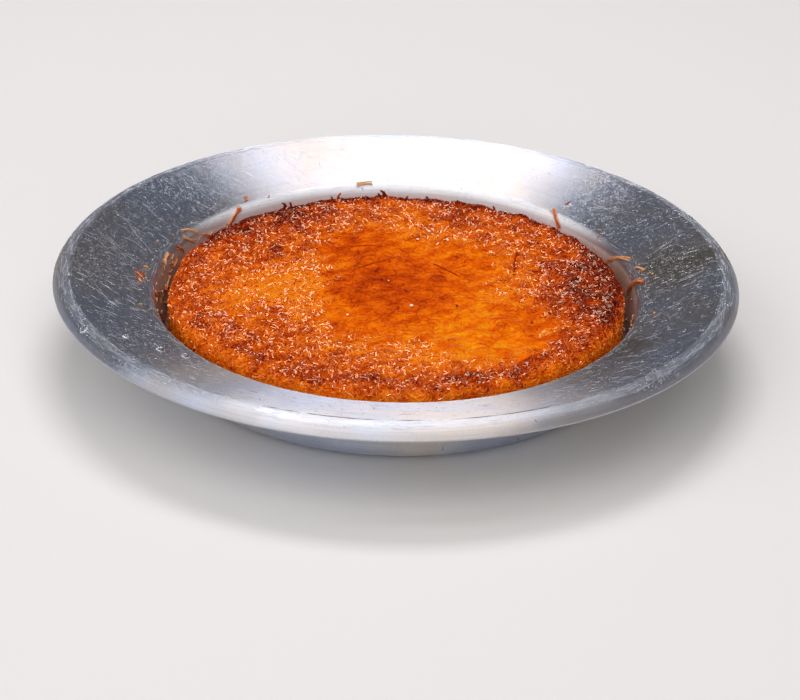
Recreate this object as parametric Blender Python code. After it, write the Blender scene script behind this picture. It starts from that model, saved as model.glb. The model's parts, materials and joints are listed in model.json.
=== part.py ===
"""A round kunafa in the spun aluminium pan that it is baked and served in.

Lengths are in metres, and +Z is up. The origin is the middle of the pan's underside.
Angles round the pan run anticlockwise from +X, seen from above, and are in degrees.
"""

import math
import random

import bmesh
import bpy
from mathutils import Vector

MM = 0.001
TOUCH_GAP = 0.3 * MM

# The pan: one aluminium sheet, spun to a flat floor, a steep wall, a wide sloping rim and a rolled lip
SHEET = 1.5 * MM
PAN_RADIUS = 115.0 * MM
PAN_HEIGHT = 31.3 * MM
FLOOR_CORNER_RADIUS = 78.6 * MM
MOUTH_CORNER_RADIUS = 81.6 * MM
RIM_SLOPE = math.radians(17.5)
LIP_SLOPE = math.radians(-56.0)
FLOOR_FILLET = 5.0 * MM
MOUTH_FILLET = 4.0 * MM
LIP_FILLET = 5.5 * MM
LIP_FLAT = 1.4 * MM
PAN_SEGMENTS = 72
ARC_STEP = math.radians(21.0)

# The kunafa: a flat cake of baked pastry strands with a rounded, crusty edge
CAKE_RADIUS = 77.0 * MM
CAKE_TOP = 22.0 * MM
CAKE_FOOT_FILLET = 5.6 * MM
CAKE_EDGE_FILLET = 3.6 * MM
CAKE_SEGMENTS = 52
CAKE_RINGS = 12
CAKE_RING_CROWDING = 0.85
EDGE_STEPS = 3
SIDE_STEPS = 4
FOOT_STEPS = 2
SIDE_DENTS = 9
SIDE_DENT_DEPTH = 0.35 * MM
HOLLOW_RADIUS = 40.0 * MM
HOLLOW_DEPTH = 0.7 * MM

# How the baked edge wanders: the most it moves, and its waves (turns round the edge, phase, share)
EDGE_WANDER = 0.42 * MM
EDGE_WAVES = ((3, 0.8, 0.5), (7, 2.1, 0.3), (16, 0.3, 0.35), (27, 1.1, 0.3))

# The crags of the crust: each set's wavelength and height, and how rough the pressed middle stays
CRAG_WAVES = ((23.0 * MM, 0.34 * MM), (11.0 * MM, 0.30 * MM), (6.5 * MM, 0.22 * MM))
WAVES_EACH = 5
MIDDLE_ROUGHNESS = 0.3
RELIEF_SEED = 11

# The pastry strands that stand out of the crust
STRAND = 1.0 * MM
STRAND_SIDES = 3
STRAND_TIP = 0.62
SHORT_STRAND = (5.5 * MM, 9.5 * MM)
LONG_STRAND = (11.0 * MM, 18.0 * MM)
LONG_EVERY = 4
SHORT_STRAND_POINTS = 3
LONG_STRAND_POINTS = 5
TOP_STRANDS = 146
TOP_SPREAD = 0.43
TOP_BEND = 1.5
TOP_INSET = 1.5 * MM
TOP_END_SINK = 0.75 * STRAND
TOP_MIDDLE_RISE = 0.10 * STRAND
EDGE_STRANDS = 28
EDGE_STRAND_POINTS = 4
EDGE_END_SINK = 0.65 * STRAND
EDGE_MIDDLE_RISE = 0.05 * STRAND
CURL_POINTS = 4
CURL_FOOT_DEPTH = 1.2 * MM
STRAND_SEED = 8

# Strands at the back edge that curl up out of the crust: angle, length up the curl, lean along the edge
CURLS = (
    (93.5, 3.3 * MM, 0.9),
    (107.5, 3.1 * MM, -0.5),
    (121.0, 2.7 * MM, 0.3),
    (123.8, 2.8 * MM, -0.9),
    (62.0, 2.2 * MM, 0.6),
)

# Loose shreds that lie on the pan: how far out over the rim (or, below 0, down the wall) and at
# what angle each end lies, how far its middle bows, and its width
LOOSE_SHREDS = (
    ((1.2 * MM, 100.6), (1.8 * MM, 96.6), 0.3 * MM, 1.2 * MM),
    ((-4.4 * MM, 138.4), (0.6 * MM, 133.2), 0.5 * MM, 1.3 * MM),
    ((2.6 * MM, 153.6), (-1.6 * MM, 149.4), 0.7 * MM, 0.9 * MM),
    ((0.6 * MM, 155.2), (-3.4 * MM, 151.0), -0.6 * MM, 0.9 * MM),
    ((-2.8 * MM, 148.6), (-5.6 * MM, 144.6), 0.8 * MM, 1.0 * MM),
    ((-0.8 * MM, 159.6), (-4.2 * MM, 157.0), 0.4 * MM, 1.1 * MM),
    ((-1.6 * MM, 168.6), (-0.4 * MM, 164.2), 0.6 * MM, 1.0 * MM),
    ((-6.0 * MM, 163.8), (-4.4 * MM, 160.6), -0.4 * MM, 0.8 * MM),
    ((-10.0 * MM, 171.0), (-7.6 * MM, 166.6), 0.6 * MM, 1.0 * MM),
    ((-3.0 * MM, 183.4), (-7.4 * MM, 179.6), 0.5 * MM, 0.9 * MM),
    ((6.2 * MM, 178.8), (3.2 * MM, 180.6), 0.3 * MM, 1.2 * MM),
    ((4.4 * MM, 129.4), (2.4 * MM, 130.4), 0.2 * MM, 0.9 * MM),
    ((2.2 * MM, 48.6), (-3.2 * MM, 44.2), 0.6 * MM, 1.3 * MM),
    ((-5.0 * MM, 24.6), (1.8 * MM, 15.8), 0.8 * MM, 1.0 * MM),
    ((2.0 * MM, 11.4), (4.2 * MM, 8.8), 0.3 * MM, 1.1 * MM),
    ((-6.8 * MM, 8.6), (2.4 * MM, 3.4), 1.4 * MM, 1.5 * MM),
)
SHRED_POINTS = 5
SHRED_SIDES = 5


def material(name, colour, roughness, metallic=0.0):
    """A plain Principled finish."""
    made = bpy.data.materials.new(name)
    made.use_nodes = True
    shader = made.node_tree.nodes["Principled BSDF"]
    shader.inputs["Base Color"].default_value = (*colour, 1.0)
    shader.inputs["Roughness"].default_value = roughness
    shader.inputs["Metallic"].default_value = metallic
    return made


def add_object(name, points, faces, finish, smooth_below=0.0):
    """A named mesh object with outward faces, shaded smooth across angles under smooth_below degrees."""
    mesh = bpy.data.meshes.new(name)
    mesh.from_pydata(points, [], faces)
    tidy = bmesh.new()
    tidy.from_mesh(mesh)
    bmesh.ops.recalc_face_normals(tidy, faces=tidy.faces)
    tidy.to_mesh(mesh)
    tidy.free()
    mesh.materials.append(finish)
    if smooth_below:
        mesh.shade_smooth()
        mesh.set_sharp_from_angle(angle=math.radians(smooth_below))
    made = bpy.data.objects.new(name, mesh)
    bpy.context.scene.collection.objects.link(made)
    return made


def rounded_path(corners):
    """Points of a path through corners (r, z, fillet radius), with each inner corner turned into an arc."""
    spots = [Vector((r, z)) for r, z, _ in corners]
    path = [spots[0]]
    for before, here, after, (_, _, radius) in zip(spots, spots[1:], spots[2:], corners[1:-1]):
        way_in = (here - before).normalized()
        way_out = (after - here).normalized()
        turn = way_in.angle_signed(way_out)
        start = here - way_in * radius * math.tan(abs(turn) / 2)
        side = Vector((way_in.y, -way_in.x)) * math.copysign(1.0, turn)
        centre = start + side * radius
        steps = max(2, math.ceil(abs(turn) / ARC_STEP))
        for step in range(steps + 1):
            angle = -turn * step / steps
            arm = -side * radius
            swung = Vector(
                (
                    arm.x * math.cos(angle) - arm.y * math.sin(angle),
                    arm.x * math.sin(angle) + arm.y * math.cos(angle),
                )
            )
            path.append(centre + swung)
    path.append(spots[-1])
    return path


def path_normals(path):
    """The unit normal at each point of a path, on its left side as it runs."""
    normals = []
    for index in range(len(path)):
        way = path[min(index + 1, len(path) - 1)] - path[max(index - 1, 0)]
        normals.append(Vector((-way.y, way.x)).normalized())
    return normals


def lip_end():
    """The lip's edge on the upper face, below the crest by the drop of the lip's bend and flat."""
    drop = LIP_FILLET * (1 - math.cos(LIP_SLOPE)) - LIP_FLAT * math.sin(LIP_SLOPE)
    return Vector((PAN_RADIUS, PAN_HEIGHT - drop))


def lip_start():
    """Where the rim's straight slope ends and the lip's bend over its crest begins."""
    reach = -LIP_FILLET * math.sin(LIP_SLOPE) + LIP_FLAT * math.cos(LIP_SLOPE)
    centre = Vector((PAN_RADIUS - reach, PAN_HEIGHT - LIP_FILLET))
    return centre + LIP_FILLET * Vector((-math.sin(RIM_SLOPE), math.cos(RIM_SLOPE)))


def mouth_height():
    """The height at which the rim's slope, run inwards, meets the mouth's corner."""
    start = lip_start()
    return start.y - (start.x - MOUTH_CORNER_RADIUS) * math.tan(RIM_SLOPE)


def pan_path():
    """The sheet's upper face, from the middle of the floor out to the lip's edge, as (r, z) points."""
    rim_way = Vector((math.cos(RIM_SLOPE), math.sin(RIM_SLOPE)))
    lip_turn = RIM_SLOPE - LIP_SLOPE
    lip_corner = lip_start() + rim_way * LIP_FILLET * math.tan(lip_turn / 2)
    return rounded_path(
        [
            (0.0, SHEET, 0.0),
            (FLOOR_CORNER_RADIUS, SHEET, FLOOR_FILLET),
            (MOUTH_CORNER_RADIUS, mouth_height(), MOUTH_FILLET),
            (*lip_corner, LIP_FILLET),
            (*lip_end(), 0.0),
        ]
    )


def lathe(outline, segments):
    """Points and faces of a closed outline turned about Z. Its first and last points are on the axis."""
    points = [(0.0, 0.0, outline[0].y)]
    rings = outline[1:-1]
    for spot in rings:
        for step in range(segments):
            angle = math.tau * step / segments
            points.append((spot.x * math.cos(angle), spot.x * math.sin(angle), spot.y))
    points.append((0.0, 0.0, outline[-1].y))
    faces = []
    for step in range(segments):
        after = (step + 1) % segments
        faces.append((0, 1 + step, 1 + after))
        for ring in range(len(rings) - 1):
            low = 1 + ring * segments
            high = low + segments
            faces.append((low + step, high + step, high + after, low + after))
        last = 1 + (len(rings) - 1) * segments
        faces.append((last + step, len(points) - 1, last + after))
    return points, faces


def make_pan(finish):
    """The pan, as one turned sheet of even thickness whose edge is rounded over."""
    upper = pan_path()
    normals = path_normals(upper)
    normals[0] = Vector((0.0, 1.0))
    lower = [spot - normal * SHEET for spot, normal in zip(upper, normals)]
    lower[0] = Vector((0.0, 0.0))
    edge = (upper[-1] + lower[-1]) / 2 + (upper[-1] - upper[-2]).normalized() * SHEET / 3
    points, faces = lathe(upper + [edge] + lower[::-1], PAN_SEGMENTS)
    return add_object("pan", points, faces, finish, smooth_below=40.0)


def relief_waves():
    """Plane waves (kx, ky, phase, height) that add up to the crags of the crust."""
    draw = random.Random(RELIEF_SEED)
    waves = []
    for length, height in CRAG_WAVES:
        for _ in range(WAVES_EACH):
            way = draw.uniform(0.0, math.tau)
            pitch = math.tau / (length * draw.uniform(0.8, 1.25))
            waves.append(
                (pitch * math.cos(way), pitch * math.sin(way), draw.uniform(0.0, math.tau), height)
            )
    return waves


WAVES = relief_waves()


def smooth_step(low, high, value):
    """0 below low and 1 above high, with a smooth rise between."""
    share = min(1.0, max(0.0, (value - low) / (high - low)))
    return share * share * (3 - 2 * share)


def crag(x, y):
    """The crust's unevenness at a point: the sum of its waves, gentler in the pressed middle."""
    total = sum(
        height * math.sin(kx * x + ky * y + phase) for kx, ky, phase, height in WAVES
    )
    outside = smooth_step(0.6 * HOLLOW_RADIUS, 1.3 * HOLLOW_RADIUS, math.hypot(x, y))
    rough = MIDDLE_ROUGHNESS + (1 - MIDDLE_ROUGHNESS) * outside
    return total * rough / math.sqrt(WAVES_EACH)


def edge_radius(angle):
    """The cake's radius at an angle in radians, which wanders a little as a baked edge does."""
    wander = sum(share * math.sin(turns * angle + phase) for turns, phase, share in EDGE_WAVES)
    return CAKE_RADIUS - EDGE_WANDER * (1 - wander)


def crust_height(x, y):
    """Height of the crust's top at a point inside the rounded edge."""
    hollow = HOLLOW_DEPTH * (1 - smooth_step(0.5 * HOLLOW_RADIUS, 1.5 * HOLLOW_RADIUS, math.hypot(x, y)))
    return CAKE_TOP - hollow + crag(x, y)


def cake_surface(share, angle):
    """A point of the cake's skin: share is 0 to 1 over the top, to 2 round the edge, to 3 down the side."""
    radius = edge_radius(angle)
    flat = radius - CAKE_EDGE_FILLET
    if share <= 1:
        reach = flat * share
        x, y = reach * math.cos(angle), reach * math.sin(angle)
        return Vector((x, y, crust_height(x, y)))
    rim_x, rim_y = flat * math.cos(angle), flat * math.sin(angle)
    top = crust_height(rim_x, rim_y)
    if share <= 2:
        bend = (share - 1) * math.pi / 2
        reach = flat + CAKE_EDGE_FILLET * math.sin(bend)
        z = top - CAKE_EDGE_FILLET * (1 - math.cos(bend))
    else:
        reach = radius
        foot = SHEET + TOUCH_GAP + CAKE_FOOT_FILLET
        z = top - CAKE_EDGE_FILLET + (foot - top + CAKE_EDGE_FILLET) * (share - 2)
        dent = math.sin(SIDE_DENTS * angle + 4 * share) * math.sin(math.pi * (share - 2))
        reach -= SIDE_DENT_DEPTH * abs(dent)
    return Vector((reach * math.cos(angle), reach * math.sin(angle), z))


def make_core(finish):
    """The cake without its strands: rings over the top, round the edge, down the side and under the foot."""
    floor = SHEET + TOUCH_GAP
    top_shares = [(ring / CAKE_RINGS) ** CAKE_RING_CROWDING for ring in range(1, CAKE_RINGS + 1)]
    edge_shares = [1 + step / EDGE_STEPS for step in range(1, EDGE_STEPS + 1)]
    side_shares = [2 + step / SIDE_STEPS for step in range(1, SIDE_STEPS + 1)]
    shares = top_shares + edge_shares + side_shares
    points = [tuple(Vector((0.0, 0.0, crust_height(0.0, 0.0))))]
    for share in shares:
        for step in range(CAKE_SEGMENTS):
            points.append(tuple(cake_surface(share, math.tau * step / CAKE_SEGMENTS)))
    for bend in range(1, FOOT_STEPS + 1):
        turn = math.pi / 2 * bend / FOOT_STEPS
        for step in range(CAKE_SEGMENTS):
            angle = math.tau * step / CAKE_SEGMENTS
            reach = edge_radius(angle) - CAKE_FOOT_FILLET * (1 - math.cos(turn))
            z = floor + CAKE_FOOT_FILLET * (1 - math.sin(turn))
            points.append((reach * math.cos(angle), reach * math.sin(angle), z))
    points.append((0.0, 0.0, floor))
    rings = len(shares) + FOOT_STEPS
    faces = []
    for step in range(CAKE_SEGMENTS):
        after = (step + 1) % CAKE_SEGMENTS
        faces.append((0, 1 + step, 1 + after))
        for ring in range(rings - 1):
            near = 1 + ring * CAKE_SEGMENTS
            far = near + CAKE_SEGMENTS
            faces.append((near + step, far + step, far + after, near + after))
        last = 1 + (rings - 1) * CAKE_SEGMENTS
        faces.append((last + step, len(points) - 1, last + after))
    return add_object("kunafa", points, faces, finish)


def tube(line, width, sides, turned=0.0):
    """Points and faces of a closed tube along a line, thinner at its two ends."""
    points = []
    lift = Vector((0.0, 0.0, 1.0))
    for index, spot in enumerate(line):
        way = (line[min(index + 1, len(line) - 1)] - line[max(index - 1, 0)]).normalized()
        across = way.cross(lift)
        if across.length < 0.2:
            across = way.cross(Vector((1.0, 0.0, 0.0)))
        across.normalize()
        upward = across.cross(way)
        end = index in (0, len(line) - 1)
        half = width / 2 * (STRAND_TIP if end else 1.0)
        for side in range(sides):
            angle = turned + math.tau * side / sides
            points.append(spot + half * (across * math.cos(angle) + upward * math.sin(angle)))
    faces = [tuple(range(sides))[::-1]]
    for ring in range(len(line) - 1):
        for side in range(sides):
            near, after = ring * sides + side, ring * sides + (side + 1) % sides
            faces.append((near, after, after + sides, near + sides))
    faces.append(tuple(range((len(line) - 1) * sides, len(line) * sides)))
    return points, faces


def top_strand_lines(draw):
    """Strands that lie on the top, their ends sunk in it, spread by the sunflower rule, closer far out."""
    lines = []
    golden = math.pi * (3 - math.sqrt(5))
    reach = CAKE_RADIUS - CAKE_EDGE_FILLET - TOP_INSET
    for index in range(TOP_STRANDS):
        radius = reach * ((index + 0.5) / TOP_STRANDS) ** TOP_SPREAD
        angle = index * golden
        heading = draw.uniform(0.0, math.tau)
        is_long = index % LONG_EVERY == 0
        length = draw.uniform(*(LONG_STRAND if is_long else SHORT_STRAND))
        bend = draw.uniform(-TOP_BEND, TOP_BEND)
        count = LONG_STRAND_POINTS if is_long else SHORT_STRAND_POINTS
        line = []
        for step in range(count):
            share = step / (count - 1) - 0.5
            way = heading + bend * share
            x = radius * math.cos(angle) + length * share * math.cos(way)
            y = radius * math.sin(angle) + length * share * math.sin(way)
            far = math.hypot(x, y)
            if far > reach:
                x, y = x * reach / far, y * reach / far
            lift = -TOP_END_SINK if step in (0, count - 1) else TOP_MIDDLE_RISE
            line.append(Vector((x, y, crust_height(x, y) + lift)))
        lines.append(line)
    return lines


def edge_strand_lines(draw):
    """Strands that bend over the rounded edge, from the top down the side."""
    lines = []
    for index in range(EDGE_STRANDS):
        angle = math.tau * (index + draw.uniform(-0.35, 0.35)) / EDGE_STRANDS
        drift = draw.uniform(-0.13, 0.13)
        first = draw.uniform(0.90, 0.97)
        last = draw.uniform(1.75, 2.35)
        line = []
        for step in range(EDGE_STRAND_POINTS):
            share = step / (EDGE_STRAND_POINTS - 1)
            spot = cake_surface(first + (last - first) * share, angle + drift * share)
            outward = Vector((spot.x, spot.y, 0.0)).normalized()
            slant = (outward + Vector((0.0, 0.0, 1.0))).normalized()
            lift = -EDGE_END_SINK if step in (0, EDGE_STRAND_POINTS - 1) else EDGE_MIDDLE_RISE
            line.append(spot + slant * lift)
        lines.append(line)
    return lines


def curl_lines():
    """Strands that curl up out of the crust at the back edge."""
    lines = []
    for degrees, length, lean in CURLS:
        angle = math.radians(degrees)
        foot = cake_surface(1.25, angle)
        outward = Vector((math.cos(angle), math.sin(angle), 0.0))
        along = Vector((-math.sin(angle), math.cos(angle), 0.0))
        line = []
        for step in range(CURL_POINTS):
            share = step / (CURL_POINTS - 1)
            rise = length * math.sin(1.3 * share) - CURL_FOOT_DEPTH * (1 - share)
            drift = length * lean * share * share
            line.append(foot + outward * 0.25 * length * share + along * drift + Vector((0, 0, rise)))
        lines.append(line)
    return lines


def fuse(core, helpers):
    """Joins the helper objects to core as one solid, and removes them."""
    together = bpy.data.collections.new("strands_to_fuse")
    bpy.context.scene.collection.children.link(together)
    for helper in helpers:
        bpy.context.scene.collection.objects.unlink(helper)
        together.objects.link(helper)
    union = core.modifiers.new("fuse", "BOOLEAN")
    union.operation = "UNION"
    union.operand_type = "COLLECTION"
    union.collection = together
    union.solver = "MANIFOLD"
    depsgraph = bpy.context.evaluated_depsgraph_get()
    fused = bpy.data.meshes.new_from_object(core.evaluated_get(depsgraph))
    core.modifiers.clear()
    fused.shade_smooth()
    fused.set_sharp_from_angle(angle=math.radians(45.0))
    core.data = fused
    for helper in helpers:
        bpy.data.objects.remove(helper)
    bpy.data.collections.remove(together)


def make_kunafa(finish):
    """The cake with its strands fused on."""
    draw = random.Random(STRAND_SEED)
    core = make_core(finish)
    lines = top_strand_lines(draw) + edge_strand_lines(draw) + curl_lines()
    helpers = []
    for index, line in enumerate(lines):
        points, faces = tube(line, STRAND, STRAND_SIDES)
        helpers.append(add_object(f"strand_{index:03d}", points, faces, finish))
    fuse(core, helpers)
    return core


def mouth_index(path):
    """The point of the pan's path nearest the corner between its wall and its rim."""
    corner = Vector((MOUTH_CORNER_RADIUS, mouth_height()))
    return min(range(len(path)), key=lambda index: (path[index] - corner).length)


def on_pan(along, degrees, lift):
    """The point lift above the pan's upper face, along metres out from the middle of the mouth's bend."""
    path = pan_path()
    step = 1 if along >= 0 else -1
    left = abs(along)
    index = mouth_index(path)
    while left > (path[index + step] - path[index]).length:
        left -= (path[index + step] - path[index]).length
        index += step
    way = (path[index + step] - path[index]).normalized()
    spot = path[index] + way * left
    normal = Vector((-way.y, way.x)) * step
    spot = spot + normal * lift
    angle = math.radians(degrees)
    return Vector((spot.x * math.cos(angle), spot.x * math.sin(angle), spot.y))


def make_loose_shred(name, start, end, bow, width, finish):
    """A short bent shred that lies on the pan between two places."""
    line = []
    for step in range(SHRED_POINTS):
        share = step / (SHRED_POINTS - 1)
        along = start[0] + (end[0] - start[0]) * share + bow * math.sin(math.pi * share)
        degrees = start[1] + (end[1] - start[1]) * share
        line.append(on_pan(along, degrees, width / 2 + TOUCH_GAP))
    points, faces = tube(line, width, SHRED_SIDES, turned=math.pi / SHRED_SIDES)
    return add_object(name, points, faces, finish, smooth_below=70.0)


def main():
    """Builds the pan, the kunafa and the loose shreds in an empty scene."""
    for old in list(bpy.data.objects):
        bpy.data.objects.remove(old)
    aluminium = material("aluminium", (0.62, 0.64, 0.67), 0.32, metallic=1.0)
    crust = material("baked_crust", (0.62, 0.19, 0.018), 0.35)
    shred = material("loose_pastry", (0.60, 0.25, 0.05), 0.5)
    make_pan(aluminium)
    make_kunafa(crust)
    for number, (start, end, bow, width) in enumerate(LOOSE_SHREDS, start=1):
        make_loose_shred(f"loose_shred_{number:02d}", start, end, bow, width, shred)


main()
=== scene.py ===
"""The looks of a round kunafa in the spun aluminium pan that it is baked and served in.

Lengths are in metres, +Z is up, and the origin is under the middle of the pan. The viewer stands on the -Y
side. The cake is thought of as a skin that is unrolled flat: a place on it is an (x, y) whose distance from
the middle is the length walked over the skin, out over the top, round the edge and down the side.
"""

import json
import logging
import math
import random
from dataclasses import dataclass
from enum import Enum
from functools import cached_property
from typing import NamedTuple

import bpy
import numpy as np
from mathutils import Matrix, Vector

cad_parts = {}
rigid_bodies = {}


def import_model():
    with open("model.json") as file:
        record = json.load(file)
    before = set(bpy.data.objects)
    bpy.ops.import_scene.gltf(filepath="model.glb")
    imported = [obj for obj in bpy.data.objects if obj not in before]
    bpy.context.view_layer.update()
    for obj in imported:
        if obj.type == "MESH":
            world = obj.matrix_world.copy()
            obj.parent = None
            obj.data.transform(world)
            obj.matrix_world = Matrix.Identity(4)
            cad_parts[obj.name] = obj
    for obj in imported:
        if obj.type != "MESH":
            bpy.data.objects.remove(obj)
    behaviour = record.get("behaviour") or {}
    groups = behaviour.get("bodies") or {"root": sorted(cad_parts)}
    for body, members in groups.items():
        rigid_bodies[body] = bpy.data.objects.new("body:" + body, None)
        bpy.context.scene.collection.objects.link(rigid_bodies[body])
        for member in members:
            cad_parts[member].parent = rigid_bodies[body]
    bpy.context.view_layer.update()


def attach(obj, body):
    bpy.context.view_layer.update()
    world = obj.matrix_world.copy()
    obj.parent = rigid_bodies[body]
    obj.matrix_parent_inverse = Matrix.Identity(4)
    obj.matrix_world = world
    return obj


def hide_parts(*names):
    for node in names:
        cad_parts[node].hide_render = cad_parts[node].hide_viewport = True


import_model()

LOG = logging.getLogger("kunafa")
MM = 0.001
TINY = 1e-12
GOLDEN_TURN = math.pi * (3 - math.sqrt(5))
UP = np.array([0.0, 0.0, 1.0])
BODY = "root"

Array = np.ndarray
Draw = np.random.Generator
Socket = bpy.types.NodeSocket
Tree = bpy.types.NodeTree
Finish = bpy.types.Material
Piece = bpy.types.Object
Colour = tuple[float, float, float]
Span = tuple[float, float]


def smooth_step(low: float, high: float, value: Array) -> Array:
    """0 below low and 1 above high, with the rise 3t^2 - 2t^3 between."""
    share = np.clip((value - low) / (high - low), 0.0, 1.0)
    return share * share * (3 - 2 * share)


def unit(vectors: Array) -> Array:
    """The vectors of the last axis, each divided by its own length."""
    return vectors / np.maximum(np.linalg.norm(vectors, axis=-1, keepdims=True), TINY)


def metres(millimetres: tuple) -> Array:
    """Lengths given in millimetres, in metres."""
    return np.array(millimetres) * MM


def leftward(ways: Array) -> Array:
    """(..., 2) directions turned a quarter to the left."""
    return np.stack([-ways[..., 1], ways[..., 0]], axis=-1)


def full_turn(steps: int) -> Array:
    """Evenly spaced angles once round."""
    return math.tau * np.arange(steps) / steps


def polar(reach: Array | float, angle: Array | float) -> tuple[Array, Array]:
    """(x, y) at a distance and an angle."""
    return reach * np.cos(angle), reach * np.sin(angle)


def around(reach: Array | float, angle: Array | float, rise: Array | float) -> Array:
    """(..., 3) points at a distance from the Z axis, an angle round it and a height."""
    return np.stack(np.broadcast_arrays(*polar(reach, angle), rise), axis=-1)


def walked(points: Array) -> Array:
    """The length walked along a row of points, up to each of them."""
    return np.concatenate([[0.0], np.cumsum(np.linalg.norm(np.diff(points, axis=0), axis=1))])


def wave_noise(x: Array, y: Array, length: float, seed: int, waves: int = 9) -> Array:
    """Smooth unevenness: plane waves sin(k . p + phase) in drawn directions, over the root of their number.

    Args:
        x, y: places, in metres.
        length: the waves' middle length, in metres.
        seed: the draw's seed.
        waves: how many waves are added.

    Returns:
        Values that are mostly between -1 and 1, in the shape of x.
    """
    draw = np.random.default_rng(seed)
    way = draw.uniform(0.0, math.tau, waves)
    pitch = math.tau / (length * draw.uniform(0.7, 1.4, waves))
    phase = draw.uniform(0.0, math.tau, waves)
    inside = x[..., None] * (pitch * np.cos(way)) + y[..., None] * (pitch * np.sin(way)) + phase
    return np.sin(inside).sum(axis=-1) / math.sqrt(waves)


class Shape(NamedTuple):
    """A mesh's points, (n, 3), and its quads and triangles as point numbers, anticlockwise from outside."""

    points: Array
    quads: Array
    triangles: Array = np.zeros((0, 3), int)


def joined(shapes: list[Shape]) -> Shape:
    """Several shapes as one: their points in a row, with each shape's point numbers moved up to match.

    Args:
        shapes: the shapes, in order.

    Returns:
        The one shape.
    """
    firsts = np.cumsum([0] + [len(shape.points) for shape in shapes])
    quads = [shape.quads + first for shape, first in zip(shapes, firsts)]
    triangles = [shape.triangles + first for shape, first in zip(shapes, firsts)]
    points = [shape.points for shape in shapes]
    return Shape(*(np.concatenate(parts) for parts in (points, quads, triangles)))


def wrapped_quads(rings: int, segments: int) -> Array:
    """Quads between rings of points once round, with ring * segments + step as a point's number.

    Args:
        rings: how many rings.
        segments: how many points each has.

    Returns:
        (n, 4) point numbers.
    """
    ring, step = np.meshgrid(np.arange(rings - 1), np.arange(segments), indexing="ij")
    near, after = ring * segments, (step + 1) % segments
    far = near + segments
    return np.stack([near + step, far + step, far + after, near + after], axis=-1).reshape(-1, 4)


def capped(rings: Array, poles: Array) -> Shape:
    """Closes rings of points with a fan from one pole to the first ring and from the last ring to another.

    Args:
        rings: (count, segments, 3) points, over which the surface runs from the first pole to the second.
        poles: (2, 3) points.

    Returns:
        The shape, with the poles as its last two points.
    """
    count, segments = rings.shape[:2]
    step = np.arange(segments)
    after = (step + 1) % segments
    pole, last = np.full(segments, count * segments), (count - 1) * segments
    fans = [np.stack([pole, step, after], axis=-1), np.stack([last + step, pole + 1, last + after], axis=-1)]
    points = np.concatenate([rings.reshape(-1, 3), poles])
    return Shape(points, wrapped_quads(count, segments), np.concatenate(fans))


def hoop(rings: Array) -> Shape:
    """A closed hoop of (rings, segments, 3) points, where the last ring runs on into the first."""
    count, segments = rings.shape[:2]
    return Shape(rings.reshape(-1, 3), wrapped_quads(count + 1, segments) % (count * segments))


def tube_bundle(
    lines: Array, half_widths: Array, sides: int, flatten: float, spin: Array, sky: Array = UP[None]
) -> Shape:
    """Closed tubes along many lines at once.

    Each point of a line has a ring: point + half width * (across * cos a + upward * flatten * sin a),
    where across is square to the line and to its sky, and upward is square to both.

    Args:
        lines: (count, steps, 3) points.
        half_widths: (count, steps) half widths.
        sides: an even number of points round the tube.
        flatten: the tube's height over its width.
        spin: (count,) angle of each ring's first point.
        sky: (count, 3) direction that each tube's upper side faces.

    Returns:
        The tubes, with their points in the order line, step, side.
    """
    count, steps, _ = lines.shape
    way = unit(np.gradient(lines, axis=1))
    across = np.cross(way, sky[:, None, :])
    steep = np.linalg.norm(across, axis=-1, keepdims=True) < 0.15
    across = unit(np.where(steep, np.cross(way, [1.0, 0.0, 0.0]), across))
    upward = np.cross(across, way)
    turn, reach = spin[:, None, None] + full_turn(sides), half_widths[:, :, None]
    level = (reach * np.cos(turn))[..., None] * across[:, :, None, :]
    height = (reach * flatten * np.sin(turn))[..., None] * upward[:, :, None, :]
    points = lines[:, :, None, :] + level + height
    first = np.arange(count)[:, None, None] * steps * sides
    ring, side = first + np.arange(steps - 1)[None, :, None] * sides, np.arange(sides)
    near, after = ring + side, ring + (side + 1) % sides
    walls = np.stack([near, near + sides, after + sides, after], axis=-1).reshape(-1, 4)
    pick = np.arange(0, sides - 2, 2)
    cap = np.stack([np.zeros_like(pick), pick + 1, pick + 2, pick + 3], axis=-1)
    ends = [first + cap, first + (steps - 1) * sides + cap[:, ::-1]]
    return Shape(points.reshape(-1, 3), np.concatenate([walls, *(end.reshape(-1, 4) for end in ends)]))


def tube_values(values: Array, half_widths: Array, sides: int) -> Array:
    """A value for each point of a bundle of tubes, from one for each line or for each step of each line."""
    return np.repeat(np.broadcast_to(values, half_widths.shape).ravel(), sides)


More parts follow.
